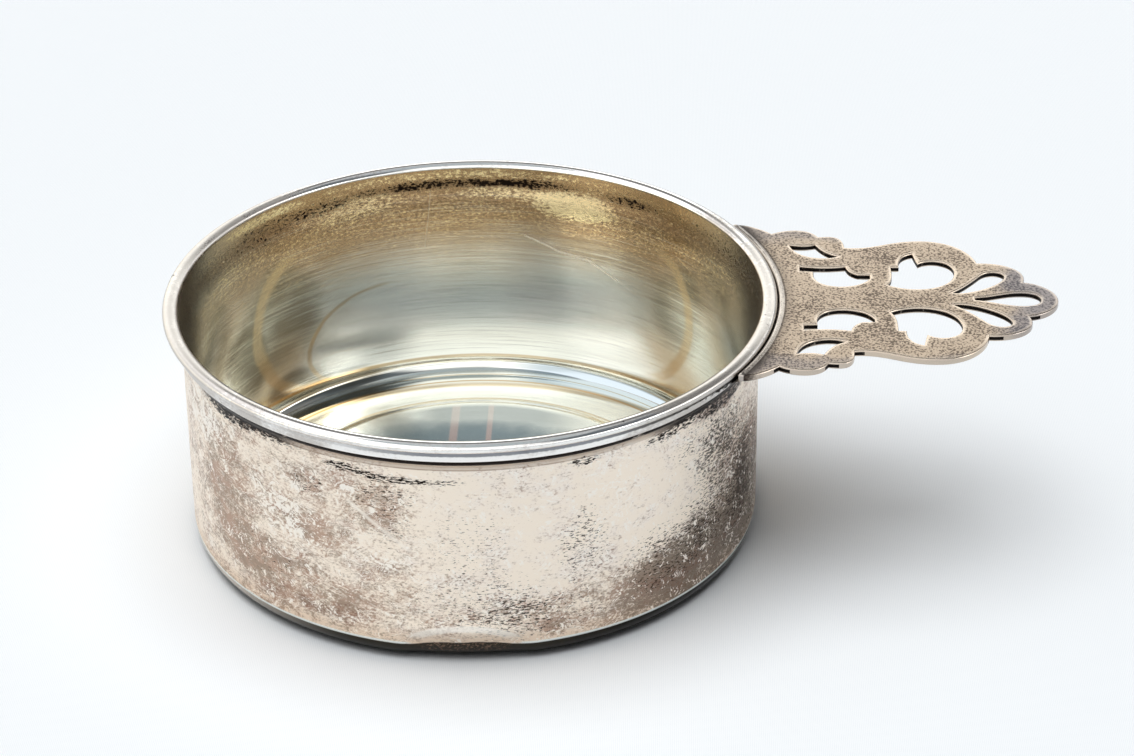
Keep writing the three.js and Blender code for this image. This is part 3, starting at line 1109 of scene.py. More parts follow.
class ShapeTree:
    """A Geometry Nodes tree with named inputs for the sizes of one piece."""

    def __init__(self, name: str, sizes: dict[str, float]) -> None:
        """Starts a tree.

        Args:
            name: Name of the tree.
            sizes: Its inputs, in millimetres, degrees or counts.
        """
        self.sizes = sizes
        self.tree = bpy.data.node_groups.new(name, "GeometryNodeTree")
        self.graph = Graph(self.tree)
        face = self.tree.interface
        for size in sizes:
            face.new_socket(name=size, in_out="INPUT", socket_type="NodeSocketFloat")
        face.new_socket(name="Material", in_out="INPUT", socket_type="NodeSocketMaterial")
        face.new_socket(name="Shape", in_out="OUTPUT", socket_type="NodeSocketGeometry")
        self.entry = self.tree.nodes.new("NodeGroupInput")

    def size(self, name: str) -> Sock:
        """One of the tree's inputs."""
        return Sock(self.graph, self.entry.outputs[name])

    def line(self, start: tuple[Value, Value], end: tuple[Value, Value]) -> Sock:
        """A straight stretch of a section, given as how far out and how far down."""
        graph = self.graph
        inputs = {"Start": graph.combine(*start, 0.0), "End": graph.combine(*end, 0.0)}
        return graph.node("GeometryNodeCurvePrimitiveLine", {"mode": "POINTS"}, inputs)

    def ellipse(self, middle: Value, wide: Value, tall: Value, start: float, sweep: float) -> Sock:
        """A stretch of an ellipse in a section, on the level of the path.

        Args:
            middle: How far out its centre is.
            wide: Half of its width.
            tall: Half of its height.
            start: First angle in degrees, where 90 is straight down.
            sweep: Degrees that it covers.

        Returns:
            The curve.
        """
        graph = self.graph
        inputs = {
            "Resolution": 18,
            "Radius": 1.0,
            "Start Angle": math.radians(start),
            "Sweep Angle": math.radians(sweep),
        }
        arc = graph.node("GeometryNodeCurveArc", {"mode": "RADIUS"}, inputs)
        inputs = {
            "Geometry": arc,
            "Translation": graph.combine(middle, 0.0, 0.0),
            "Scale": graph.combine(wide, tall, 1.0),
        }
        return graph.node("GeometryNodeTransform", None, inputs)

    def sweep(self, path: Sock, section: list[Sock], level: Value) -> Sock:
        """Draws a section along a flat path and lifts it to its level.

        Args:
            path: The path, on the table.
            section: Curves of the section, out and down from the path.
            level: Height of the path in millimetres.

        Returns:
            The shape in metres, in the part's frame.
        """
        graph = self.graph
        upright = graph.node("GeometryNodeSetCurveNormal", {"mode": "Z_UP"}, {"Curve": path})
        joined = graph.node("GeometryNodeJoinGeometry", None, {"Geometry": section})
        swept = {"Curve": upright, "Profile Curve": joined}
        shape = graph.node("GeometryNodeCurveToMesh", None, swept)
        welded = {"Geometry": shape, "Distance": 0.002}
        shape = graph.node("GeometryNodeMergeByDistance", None, welded)
        moved = {
            "Geometry": shape,
            "Translation": graph.combine(AXIS_X * MM, 0.0, level * MM),
            "Scale": (MM, MM, MM),
        }
        return graph.node("GeometryNodeTransform", None, moved)

    def mesh(self, shape: Sock, material: bpy.types.Material, sharp: float) -> bpy.types.Mesh:
        """Ends the tree and runs it.

        Args:
            shape: What the tree makes.
            material: Its material.
            sharp: Angle in degrees from which an edge stays sharp.

        Returns:
            The finished mesh.
        """
        graph = self.graph
        real = graph.node("GeometryNodeRealizeInstances", None, {"Geometry": shape})
        dressed = {"Geometry": real, "Material": self.size("Material")}
        last = graph.node("GeometryNodeSetMaterial", None, dressed)
        exit_node = self.tree.nodes.new("NodeGroupOutput")
        self.tree.links.new(last.socket, exit_node.inputs[0])
        carrier = bpy.data.objects.new(self.tree.name, bpy.data.meshes.new(self.tree.name))
        bpy.context.scene.collection.objects.link(carrier)
        modifier = carrier.modifiers.new(self.tree.name, "NODES")
        modifier.node_group = self.tree
        values = {**self.sizes, "Material": material}
        for item in self.tree.interface.items_tree:
            if item.in_out == "INPUT":
                modifier[item.identifier] = values[item.name]
        known = carrier.evaluated_get(bpy.context.evaluated_depsgraph_get())
        made = bpy.data.meshes.new_from_object(known)
        bpy.data.objects.remove(carrier)
        Maker.tidy(made, sharp)
        return made


@dataclass
class Bowl:
    """Wall and bottom, spun from one sheet, with a knock at the front of its foot."""

    radius: float = 49.4
    sheet: float = 0.6
    corner: float = 3.5
    foot: float = 1.9
    slope: float = 7.4
    slope_rise: float = 0.4
    step: float = 2.8
    step_rise: float = 0.45
    collar: float = 1.0
    collar_low: float = 36.98
    collar_rise: float = 2.2
    throat_low: float = 33.0
    throat_high: float = 41.5
    top: float = 42.26
    turns: int = 288
    dent_turn: float = 1.4
    dent_half: float = 13.0
    dent_depth: float = 0.6
    dent_height: float = 2.2
    dent_tall: float = 2.4
    bulge: float = 0.3
    bulge_height: float = 6.4
    bulge_tall: float = 1.3
    lift: float = 0.4
    lift_tall: float = 2.2
    out_of_true: float = 0.05
    true_below: float = 8.0
    true_above: float = 36.0
    true_fade: float = 20.0

    @property
    def stations(self) -> tuple[float, float, float, float]:
        """Radii of the bend's centre, the foot's inside, the step's outside and the disc."""
        centre = self.radius - self.corner
        inner_foot = centre - self.foot
        outer_step = inner_foot - self.slope
        return centre, inner_foot, outer_step, outer_step - self.step

    def spread(self, wall: float, low: float, high: float, steepness: float) -> Loop:
        """The soft S by which a face of the wall spreads into the collar.

        Args:
            wall: Radius of the upright wall.
            low: Height where the S leaves it.
            high: Height where the S ends at the collar's radius.
            steepness: Share of the height that each end of the S keeps to its own radius.

        Returns:
            The points after the first one.
        """
        far = wall + self.collar
        hold = (high - low) * steepness
        corners = [(wall, low), (wall, low + hold), (far, high - hold), (far, high)]
        return Loops.bezier(corners, 14)

    def outside(self) -> Loop:
        """Section of the underside and the outside, from the axis to the top of the wall."""
        centre, inner_foot, outer_step, disc = self.stations
        level = self.slope_rise + self.step_rise
        section = [(0.0, level)]
        section += Loops.line(section[-1], (disc, level), 6)
        section += Loops.easing(section[-1], (outer_step, self.slope_rise), 14)
        section += Loops.line(section[-1], (inner_foot, 0.0), 6)
        section += Loops.line(section[-1], (centre, 0.0), 3)
        section += Loops.arc((centre, self.corner), self.corner, -math.pi / 2, 0, 14)[1:]
        section += Loops.line(section[-1], (self.radius, 10.0), 18)
        section += Loops.line(section[-1], (self.radius, self.collar_low), 14)
        collar_high = self.collar_low + self.collar_rise
        section += self.spread(self.radius, self.collar_low, collar_high, 0.5)
        section += Loops.line(section[-1], (self.radius + self.collar, self.top), 3)
        return section

    def inside(self) -> Loop:
        """Section of the inside, from the top of the wall to the axis."""
        centre, inner_foot, outer_step, disc = self.stations
        bend = self.corner - self.sheet
        wall = self.radius - self.sheet
        level = self.slope_rise + self.step_rise + self.sheet
        section = [(wall + self.collar, self.top)]
        section += self.spread(wall, self.throat_low, self.throat_high, 0.45)[::-1]
        section.append((wall, self.throat_low))
        section += Loops.line(section[-1], (wall, 10.0), 14)
        section += Loops.line(section[-1], (wall, self.corner), 12)
        section += Loops.arc((centre, self.corner), bend, 0, -math.pi / 2, 14)[1:]
        section += Loops.line(section[-1], (inner_foot, self.sheet), 3)
        section += Loops.line(section[-1], (outer_step, self.slope_rise + self.sheet), 6)
        section += Loops.easing(section[-1], (disc, level), 14)
        section += Loops.line(section[-1], (0.0, level), 6)
        return section

    def pushed(self, angle: float, height: float) -> Point:
        """How far the sheet stands out of true at a place near the wall.

        Args:
            angle: Radians round the axis.
            height: Millimetres above the table.

        Returns:
            Millimetres outwards and millimetres up.
        """
        turn = (angle + math.pi / 2) * DEGREES - self.dent_turn
        across = abs((turn + 180) % 360 - 180) / self.dent_half
        reach = max(0.0, 1 - across ** 4)
        knock = self.dent_depth * math.exp(-((height - self.dent_height) / self.dent_tall) ** 2)
        bulge = self.bulge * math.exp(-((height - self.bulge_height) / self.bulge_tall) ** 2)
        lift = self.lift * math.exp(-(height / self.lift_tall) ** 2)
        free = max(0.0, min(1.0, (self.true_above - height) / self.true_fade))
        free = free * max(0.0, min(1.0, height / self.true_below))
        wave = math.sin(2 * angle + 0.6) + 0.6 * math.sin(3 * angle + 2.1 + height * 0.05)
        return free * self.out_of_true * wave + (bulge - knock) * reach, lift * reach

    def build(self, outside: bpy.types.Material, inside: bpy.types.Material) -> bpy.types.Object:
        """Makes the bowl.

        Args:
            outside: Finish of the outside.
            inside: Finish of the inside.

        Returns:
            The piece.
        """
        outer = self.outside()
        section = outer + self.inside()
        points = [(0.0, 0.0, section[0][1])]
        rings = section[1:-1]
        for turn in range(self.turns):
            angle = 2 * math.pi * turn / self.turns
            for radius, height in rings:
                near_wall = radius > self.radius - self.corner
                push, lift = self.pushed(angle, height) if near_wall else (0.0, 0.0)
                far = radius + push
                points.append((far * math.cos(angle), far * math.sin(angle), height + lift))
        points.append((0.0, 0.0, section[-1][1]))
        tall = len(rings)
        faces = []
        kinds = []
        for turn in range(self.turns):
            here = 1 + turn * tall
            there = 1 + (turn + 1) % self.turns * tall
            faces.append((0, there, here))
            kinds.append(0)
            for row in range(tall - 1):
                faces.append((here + row, there + row, there + row + 1, here + row + 1))
                kinds.append(0 if row + 1 < len(outer) - 1 else 1)
            faces.append((len(points) - 1, here + tall - 1, there + tall - 1))
            kinds.append(1)
        mesh = Maker.mesh("bowl_body", points, faces)
        mesh.materials.append(outside)
        mesh.materials.append(inside)
        mesh.polygons.foreach_set("material_index", kinds)
        Maker.tidy(mesh, 40)
        return Maker.piece("bowl_body", mesh, Slot.BOWL)


@dataclass
class Rim:
    """Two wires round the mouth: a half-round bead over the edge and a narrow fillet below it."""

    inside: float = 49.8
    bore: float = 50.38
    outside: float = 52.4
    line: float = 42.27
    crown: float = 0.91
    belly: float = 0.91
    undercut: float = 1.2
    fillet_outside: float = 51.0
    fillet_top: float = 41.16
    fillet_height: float = 1.75
    fillet_rounding: float = 0.15
    turns: int = 288

    def ring(self, tree: ShapeTree) -> Sock:
        """The path round the bowl's axis, on which a section is drawn from the axis outwards."""
        inputs = {"Radius": tree.size("Path radius"), "Resolution": tree.size("Turns")}
        return tree.graph.node("GeometryNodeCurvePrimitiveCircle", {"mode": "RADIUS"}, inputs)

    def build_bead(self, finish: bpy.types.Material) -> bpy.types.Object:
        """Makes the bead in its finish."""
        sizes = {
            "Path radius": (self.inside + self.outside) / 2,
            "Turns": self.turns,
            "Half width": (self.outside - self.inside) / 2,
            "Crown": self.crown,
            "Belly": self.belly,
            "Undercut": self.undercut,
            "Bore": self.bore,
            "Level": self.line,
        }
        tree = ShapeTree("bead_wire", sizes)
        half = tree.size("Half width")
        belly = tree.size("Belly")
        undercut = tree.size("Undercut")
        bore = tree.size("Bore") - tree.size("Path radius")
        section = [
            tree.ellipse(0.0, half, tree.size("Crown"), 180, 180),
            tree.ellipse(half - undercut, undercut, belly, 0, 90),
            tree.line((half - undercut, belly), (bore, belly)),
            tree.line((bore, belly), (bore, 0.0)),
            tree.line((bore, 0.0), (half * -1.0, 0.0)),
        ]
        shape = tree.sweep(self.ring(tree), section, tree.size("Level"))
        return Maker.piece("rim_bead", tree.mesh(shape, finish, 40), Slot.RIM)

    def build_fillet(self, finish: bpy.types.Material) -> bpy.types.Object:
        """Makes the fillet in its finish."""
        sizes = {
            "Path radius": (self.bore + self.fillet_outside) / 2,
            "Turns": self.turns,
            "Width": self.fillet_outside - self.bore,
            "Height": self.fillet_height,
            "Rounding": self.fillet_rounding,
            "Level": self.fillet_top - self.fillet_height / 2,
        }
        tree = ShapeTree("fillet_wire", sizes)
        inputs = {"Width": tree.size("Width"), "Height": tree.size("Height")}
        square = tree.graph.node(
            "GeometryNodeCurvePrimitiveQuadrilateral", {"mode": "RECTANGLE"}, inputs
        )
        inputs = {"Curve": square, "Count": 5, "Radius": tree.size("Rounding")}
        section = tree.graph.node("GeometryNodeFilletCurve", {"mode": "POLY"}, inputs)
        shape = tree.sweep(self.ring(tree), [section], tree.size("Level"))
        return Maker.piece("rim_fillet", tree.mesh(shape, finish, 60), Slot.RIM)


EDGE = (
    ((-10.1, 100.7), (-4.2, 94.2), (-0.7, 87.6)),
    ((3.8, 93.4), (13, 96.7), (16.4, 83.2)),
    ((20.5, 84.3), (25.8, 86.1), (25.7, 68.4)),
    ((36.9, 65.7), (41.1, 78.5), (54.1, 78.3)),
    ((64.6, 78.1), (71.7, 64.2), (73.3, 47.8)),
    ((83.6, 49.3), (91.8, 37.2), (88.6, 22.3)),
    ((94.8, 20.8), (100, 10.6), (100, 0)),
)
LEAF = (
    ((5.6, 71.9),),
    ((10.3, 69), (14.9, 72.4)),
    ((16.4, 67.2), (18.4, 59.5), (23.1, 56.6)),
    ((19.1, 50.7), (7.3, 52.6), (5.6, 71.9)),
)
HALF_MOON = (
    ((8.8, 42),),
    ((17, 39.1), (25.2, 42.3)),
    ((25.6, 37.6), (27, 32.8), (29.8, 31.2)),
    ((33.8, 31),),
    ((33.8, 27),),
    ((30.6, 11.7), (15.1, 10.6), (13.6, 28.1)),
    ((13.6, 35),),
    ((8.8, 35.4),),
    ((8.8, 42),),
)
LARGE_OPENING = (
    ((39.8, 17.9),),
    ((42.1, 24.1), (41.9, 36.5)),
    ((41.9, 42),),
    ((44.7, 42.2),),
    ((44.4, 52.6), (46.5, 57.7), (50.1, 60.2)),
    ((50.7, 53.3), (51.7, 46.5)),
    ((55.8, 54.7), (64.8, 50.7), (64.4, 35)),
    ((63.9, 13.1), (49.5, 6.2), (39.8, 17.9)),
)
SLANTING_DROP = (
    ((62.3, 7.8),),
    ((67.5, 4.4), (80.1, 16.8), (82, 28.1)),
    ((83.2, 36.5), (76.7, 39.8), (73, 29.9)),
    ((70.4, 23.4), (66.7, 14.2), (62.3, 7.8)),
)
MIDDLE_DROP = (
    ((70.5, 1.5),),
    ((76.7, 3.3), (81.3, 8.8), (87.2, 8.8)),
    ((91.8, 8.8), (93.8, 4.7), (93.8, 0)),
)


@dataclass
class Handle:
    """Flat pierced plate with rounded edges, a raised lip along its root, and solder below it.

    The pattern's points are in percent of the reach out from the bead and of the spread from the
    centre line. A step of one point is a line, of two a quadratic and of three a cubic curve.
    """

    rim_radius: float = 52.4
    root_radius: float = 52.6
    reach: float = 47.7
    spread: float = 27.4
    underside: float = 41.095
    thickness: float = 1.15
    edge_rounding: float = 0.27
    root_rounding: float = 0.9
    lip_height: float = 0.22
    lip_radius: float = 53.15
    lip_width: float = 0.6
    solder_reach: float = 1.9
    solder_end: float = 1.6
    solder_hollow: float = 0.4
    fillet_radius: float = 51.0
    fillet_low: float = 39.56
    edge_steps: int = 4
    curve_steps: int = 18
    grid: float = 0.45
    grid_start: float = 40.0
    GAP: ClassVar[str] = "gap"
    ROW_SHARE: ClassVar[float] = 0.866

    @property
    def root_angle(self) -> float:
        """Half of the turn that the root takes up, in radians."""
        return math.asin(self.spread / self.root_radius)

    def placed(self, point: Point, side: float) -> Point:
        """A pattern point in millimetres, on one side of the centre line."""
        along, across = point
        return (
            self.rim_radius + along / 100 * self.reach,
            side * across / 100 * self.spread,
        )

    def drawn(self, start: Point, steps: Sequence[Sequence[Point]], side: float) -> Loop:
        """Follows steps of the pattern from a placed start, on one side, without the start."""
        loop = [start]
        for step in steps:
            points = [loop[-1]] + [self.placed(point, side) for point in step]
            loop += Loops.bezier(points, 1 if len(step) == 1 else self.curve_steps)
        return loop[1:]

    def outline(self) -> Loop:
        """The outer edge, anticlockwise."""
        angle = self.root_angle
        corner = (self.root_radius * math.cos(angle), self.root_radius * math.sin(angle))
        shoulder = (corner[0] + self.root_rounding, corner[1])
        turned = angle - self.root_rounding / self.root_radius
        arc = Loops.arc((0.0, 0.0), self.root_radius, turned, -turned, 120)
        upper = [shoulder] + self.drawn(shoulder, EDGE, 1.0)
        round_corner = Loops.bezier([shoulder, corner, arc[0]], 8)
        lower = [(x, -y) for x, y in upper[:-1]]
        lower_corner = [(x, -y) for x, y in reversed(round_corner[:-1])]
        return lower + upper[::-1] + round_corner + arc[1:] + lower_corner

    def piercings(self) -> list[Loop]:
        """The openings, clockwise, so that the plate is on the left of every outline."""
        made = []
        for pattern in (LEAF, HALF_MOON, LARGE_OPENING, SLANTING_DROP):
            for side in (1.0, -1.0):
                made.append(self.drawn(self.placed(pattern[0][0], side), pattern[1:], side))
        start = self.placed(MIDDLE_DROP[0][0], 1.0)
        half = [start] + self.drawn(start, MIDDLE_DROP[1:], 1.0)
        made.append(half + [(x, -y) for x, y in reversed(half[:-1])])
        return [loop[::-1] if Loops.area(loop) > 0 else loop for loop in made]

    def lip(self, x: float, y: float) -> float:
        """How far the lip along the root stands up at a place."""
        off = abs(math.hypot(x, y) - self.lip_radius) / self.lip_width
        turn = self.root_angle - abs(math.atan2(y, x))
        end = max(0.0, min(1.0, turn * self.root_radius / self.root_rounding))
        return self.lip_height * end * (1 - off * off) ** 2 if off < 1 else 0.0

    def lip_points(self) -> list[Point]:
        """Points on the top that carry the shape of the lip."""
        rows = 9
        row_step = 0.11
        first_row = self.root_radius + self.edge_rounding + 0.08
        limit = self.root_angle - 0.022
        made = []
        for row in range(rows):
            made += Loops.arc((0.0, 0.0), first_row + row * row_step, -limit, limit, 110)
        return made

    @staticmethod
    def notches(loop: Loop, reach: float = 1.6, sharp: float = 0.5) -> list[bool]:
        """Tells which points of an outline lie near a sharp inward corner.

        Args:
            loop: The outline, with the plate on its left.
            reach: Millimetres from the corner.
            sharp: Least turn of the corner in radians.

        Returns:
            One answer for each point.
        """
        corners = []
        for before, here, after in zip(loop[-1:] + loop[:-1], loop, loop[1:] + loop[:1]):
            come = math.atan2(here[1] - before[1], here[0] - before[0])
            leave = math.atan2(after[1] - here[1], after[0] - here[0])
            if (leave - come + math.pi) % (2 * math.pi) - math.pi < -sharp:
                corners.append(here)
        return [any(math.dist(point, corner) < reach for corner in corners) for point in loop]

    @staticmethod
    def near_tree(loops: list[Loop], spacing: float = 0.15) -> KDTree:
        """Makes a search tree of closely spaced points along outlines."""
        spots = []
        for loop in loops:
            for start, end in zip(loop, loop[1:] + loop[:1]):
                spots += Loops.line(start, end, math.ceil(math.dist(start, end) / spacing) or 1)
        tree = KDTree(len(spots))
        for number, (x, y) in enumerate(spots):
            tree.insert((x, y, 0.0), number)
        tree.balance()
        return tree

    def build_plate(
        self, finish: bpy.types.Material, sawn: bpy.types.Material
    ) -> bpy.types.Object:
        """Makes the pierced plate.

        Args:
            finish: Finish of the plate.
            sawn: Finish of the walls of the piercings and of the notches in the edge.

        Returns:
            The piece.
        """
        outlines = [self.outline()] + self.piercings()
        points: list[tuple[float, float, float]] = []
        faces: list[tuple[int, ...]] = []
        kinds: list[int] = []
        top = self.underside + self.thickness
        caps: list[Loop] = []
        for number, loop in enumerate(outlines):
            dark = [number > 0 or notch for notch in self.notches(loop)]
            bands = []
            for row in range(2 * self.edge_steps + 2):
                upper = row > self.edge_steps
                step = row - self.edge_steps - 1 if upper else self.edge_steps - row
                lean = math.pi / 2 * step / self.edge_steps
                ring = Loops.inset(loop, self.edge_rounding * (1 - math.cos(lean)))
                rise = self.edge_rounding * (1 - math.sin(lean))
                level = top - rise if upper else self.underside + rise
                bands.append(len(points))
                for x, y in ring:
                    lift = self.lip(x, y) * math.sin(lean) if upper else 0.0
                    points.append((x, y, level + lift))
            caps.append(ring)
            count = len(loop)
            for row, (low, high) in enumerate(zip(bands, bands[1:])):
                for i in range(count):
                    after = (i + 1) % count
                    faces.append((low + i, low + after, high + after, high + i))
                    kinds.append(1 if row == self.edge_steps and dark[i] else 0)
        for flat in (False, True):
            self.cap(caps, flat, points, faces)
        kinds += [0] * (len(faces) - len(kinds))
        mesh = Maker.mesh("handle_plate", points, faces)
        mesh.materials.append(finish)
        mesh.materials.append(sawn)
        mesh.polygons.foreach_set("material_index", kinds)
        Maker.tidy(mesh, 12, 0.004)
        self.measure(mesh, outlines)
        return Maker.piece("handle_plate", mesh, Slot.HANDLE)

    def measure(self, mesh: bpy.types.Mesh, outlines: list[Loop]) -> None:
        """Stores how far each point of the plate is from the nearest cut edge, in millimetres."""
        tree = self.near_tree(outlines)
        gaps = []
        for vertex in mesh.vertices:
            spot = (vertex.co.x / MM - AXIS_X, vertex.co.y / MM, 0.0)
            gaps.append(tree.find(spot)[2])
        mesh.attributes.new(self.GAP, "FLOAT", "POINT").data.foreach_set("value", gaps)

    def grid_points(self, loops: list[Loop]) -> list[Point]:
        """Points spread evenly over the plate, clear of its cut edges and of the lip."""
        tree = self.near_tree(loops)
        step = self.grid
        row_step = step * self.ROW_SHARE
        rows = math.ceil(2 * self.spread / row_step)
        columns = math.ceil((self.rim_radius + self.reach) / step)
        spots = []
        for row in range(rows):
            for column in range(math.floor(self.grid_start / step), columns):
                x = (column + row % 2 / 2) * step
                y = row * row_step - self.spread
                clear_of_lip = math.hypot(x, y) > self.lip_radius + self.lip_width + step
                if clear_of_lip and tree.find((x, y, 0.0))[2] > step * 0.6:
                    spots.append((x, y))
        return [spot for spot, kept in zip(spots, self.on_plate(loops, spots)) if kept]

    @staticmethod
    def on_plate(loops: list[Loop], spots: Sequence[Point]) -> np.ndarray:
        """Tells which points lie on the plate: inside its edge and in none of its openings."""
        places = np.array(spots)
        kept = Loops.holds(loops[0], places)
        for loop in loops[1:]:
            kept &= ~Loops.holds(loop, places)
        return kept

    def cap(
        self,
        loops: list[Loop],
        flat: bool,
        points: list[tuple[float, float, float]],
        faces: list[tuple[int, ...]],
    ) -> None:
        """Closes the top or the underside of the plate.

        Args:
            loops: Outer edge first, then the openings.
            flat: Whether this is the underside.
            points: Points of the plate, which this adds to.
            faces: Faces of the plate, which this adds to.
        """
        spots: list[Vector] = []
        edges = []
        for loop in loops:
            first = len(spots)
            spots += [Vector(point) for point in loop]
            edges += [(first + i, first + (i + 1) % len(loop)) for i in range(len(loop))]
        spots += [Vector(point) for point in self.grid_points(loops)]
        if not flat:
            spots += [Vector(point) for point in self.lip_points()]
        made, _, triangles, _, _, _ = delaunay_2d_cdt(spots, edges, [], 1, 1e-5)
        first = len(points)
        top = self.underside + self.thickness
        for spot in made:
            level = self.underside if flat else top + self.lip(spot.x, spot.y)
            points.append((spot.x, spot.y, level))
        zero = Vector((0.0, 0.0))
        middles = [sum((made[i] for i in triangle), zero) / 3 for triangle in triangles]
        for triangle, kept in zip(triangles, self.on_plate(loops, middles)):
            if kept:
                faces.append(tuple(first + i for i in triangle))

    def build_solder(self, finish: bpy.types.Material) -> bpy.types.Object:
        """Makes the concave fillet of solder under the root, in its finish."""
        sizes = {
            "Path radius": self.root_radius,
            "Half turn": self.root_angle - self.solder_end / self.root_radius,
            "Reach": self.solder_reach,
            "Hollow": self.solder_hollow,
            "Inward": self.root_radius - self.fillet_radius,
            "Depth": self.underside - self.fillet_low,
            "Level": self.underside,
        }
        tree = ShapeTree("solder_fillet", sizes)
        graph = tree.graph
        half = tree.size("Half turn")
        inputs = {
            "Resolution": 80,
            "Radius": tree.size("Path radius"),
            "Start Angle": half * -1.0,
            "Sweep Angle": half * 2.0,
        }
        path = graph.node("GeometryNodeCurveArc", {"mode": "RADIUS"}, inputs)
        inward = tree.size("Inward") * -1.0
        depth = tree.size("Depth")
        reach = tree.size("Reach")
        inputs = {
            "Resolution": 12,
            "Start": graph.combine(inward, depth, 0.0),
            "Middle": graph.combine(inward + reach, tree.size("Hollow"), 0.0),
            "End": graph.combine(reach, 0.0, 0.0),
        }
        hollow = graph.node("GeometryNodeCurveQuadraticBezier", None, inputs)
        section = [
            hollow,
            tree.line((reach, 0.0), (0.0, 0.0)),
            tree.line((0.0, 0.0), (inward, depth)),
        ]
        shape = tree.sweep(path, section, tree.size("Level"))
        return Maker.piece("handle_solder", tree.mesh(shape, finish, 50), Slot.SOLDER)


@dataclass(frozen=True)
class Zone:
    """A stretch of the surroundings as seen from the porringer, with its light."""

    turn: float
    half: float
    low: float
    high: float
    light: tuple[float, float, float]
    blur: float = 20.0
    soft: float = 2.5


ROOM = (
    Zone(-90, 70, -90, 13, (1.8, 1.72, 1.5)),
    Zone(-80, 58, 33, 68, (1.6, 1.6, 1.65)),
    Zone(5, 40, 27, 62, (1.25, 1.26, 1.27)),
    Zone(82, 36, 37, 68, (0.12, 0.14, 0.16)),
    Zone(155, 50, 33, 55, (0.2, 0.2, 0.2), soft=4),
    Zone(0, 180, 74, 90, (0.36, 0.42, 0.45), soft=5),
    Zone(0, 152, 13, 27, (1.65, 1.68, 1.7), soft=1.5),
    Zone(-100, 55, 25.5, 32, (0.85, 0.86, 0.86)),
    Zone(180, 36, 13, 32, (1.95, 1.97, 1.92), blur=15),
    Zone(128, 18, 24, 32, (0.85, 0.85, 0.83), blur=15),
    Zone(75, 20, 24, 32, (4.2, 4.2, 4.2), blur=20),
    Zone(34, 14, 27, 32, (0.9, 0.92, 0.91), blur=15, soft=1.5),
)


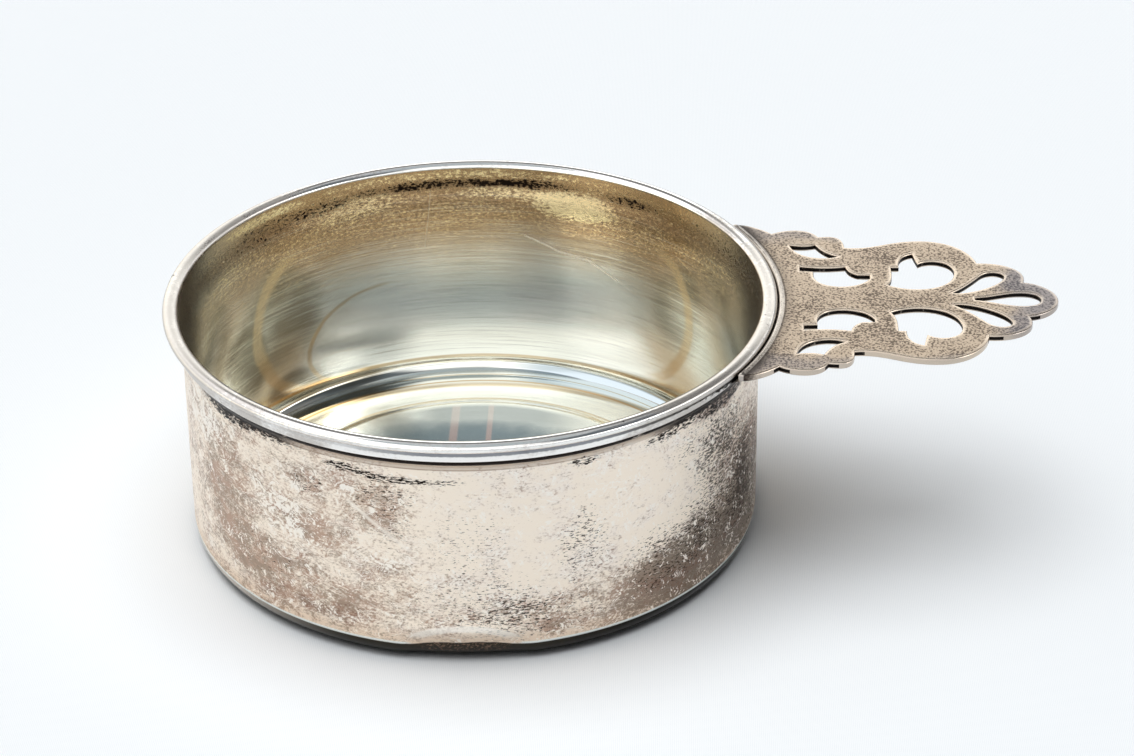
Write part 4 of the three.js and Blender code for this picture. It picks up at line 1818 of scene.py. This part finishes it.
@dataclass
class Studio:
    """Camera, surroundings and cloth."""

    camera_place: tuple[float, float, float] = (0.0091, -0.48486, 0.29991)
    camera_yaw: float = 0.03412
    camera_pitch: float = 0.51381
    camera_roll: float = -0.0095
    lens: float = 102.1
    sensor: float = 36.0
    floor_half: float = 3.0
    floor_level: float = -0.00005
    room_light: Colour = (0.5, 0.52, 0.54, 1.0)
    fill: float = 0.042
    left_light: float = 1.06
    left_turn: float = -75.0
    left_half: tuple[float, float] = (95.0, 55.0)
    left_rise: tuple[float, float] = (33.0, 45.0)
    top_light: float = 3.34
    top_rise: tuple[float, float] = (58.0, 68.0)

    def set_camera(self) -> None:
        """Places the camera where the photograph was taken from."""
        data = bpy.data.cameras.new("camera")
        data.sensor_fit = "HORIZONTAL"
        data.sensor_width = self.sensor
        data.lens = self.lens
        data.clip_start = 0.01
        camera = bpy.data.objects.new("camera", data)
        bpy.context.scene.collection.objects.link(camera)
        turn = (
            Matrix.Rotation(self.camera_yaw, 4, "Z")
            @ Matrix.Rotation(math.pi / 2 - self.camera_pitch, 4, "X")
            @ Matrix.Rotation(self.camera_roll, 4, "Z")
        )
        camera.matrix_world = Matrix.Translation(self.camera_place) @ turn
        bpy.context.scene.camera = camera

    def light(self) -> None:
        """Sets soft lamps above and on the left, and the room that the silver mirrors."""
        world = bpy.data.worlds.new("surroundings")
        world.use_nodes = True
        world.node_tree.nodes.clear()
        graph = Graph(world.node_tree)
        way = graph.node("ShaderNodeTexCoord", None, None, "Generated")
        x = graph.node("ShaderNodeSeparateXYZ", None, {"Vector": way}, "X")
        turn = graph.math("ARCTAN2", x, x.output("Y") * -1.0)
        up = graph.math("ARCSINE", x.output("Z")) * DEGREES

        def aside(middle: float) -> Sock:
            """Degrees to either side of a turn."""
            cosine = graph.math("COSINE", turn - math.radians(middle))
            return graph.math("ARCCOSINE", cosine) * DEGREES

        room: Sock | Colour = self.room_light
        for zone in ROOM:
            mask = aside(zone.turn).rise(zone.half + zone.blur, zone.half)
            mask = mask * up.within(zone.low, zone.high, zone.soft)
            room = graph.blend(mask, room, (*zone.light, 1.0))
        left = aside(self.left_turn).rise(*self.left_half) * up.rise(*self.left_rise)
        lamps = self.fill + left * self.left_light + up.rise(*self.top_rise) * self.top_light
        mirrored = graph.node("ShaderNodeLightPath", None, None, "Is Glossy Ray")
        seen = graph.node("ShaderNodeBackground", None, {"Color": room})
        cast = graph.node("ShaderNodeBackground", None, {"Color": (1.0,) * 4, "Strength": lamps})
        inputs = {"Fac": mirrored, "Shader": cast, "Shader_001": seen}
        shader = graph.node("ShaderNodeMixShader", None, inputs)
        graph.add("ShaderNodeOutputWorld", None, {"Surface": shader})
        bpy.context.scene.world = world

    def lay_cloth(self) -> None:
        """Lays the cloth under the porringer."""
        half, level = self.floor_half, self.floor_level
        corners = [(-half, -half), (half, -half), (half, half), (-half, half)]
        mesh = bpy.data.meshes.new("cloth")
        mesh.from_pydata([(x, y, level) for x, y in corners], [], [(0, 1, 2, 3)])
        mesh.materials.append(WhiteCloth().make())
        cloth = bpy.data.objects.new("cloth", mesh)
        bpy.context.scene.collection.objects.link(cloth)


def main() -> None:
    """Builds the porringer and its studio, and logs how many faces each piece has."""
    logging.basicConfig(level=logging.INFO, format="%(name)s %(message)s")
    bpy.context.scene.view_settings.view_transform = "Standard"
    studio = Studio()
    studio.set_camera()
    studio.light()
    studio.lay_cloth()
    Bowl().build(OutsideSilver().make(), InsideSilver().make())
    rim = Rim()
    rim_finish = RimSilver().make()
    rim.build_bead(rim_finish)
    rim.build_fillet(rim_finish)
    handle = Handle()
    handle.build_plate(HandleSilver().make(), SawnSilver().make())
    handle.build_solder(SolderSilver().make())


if __name__ == "__main__":
    main()
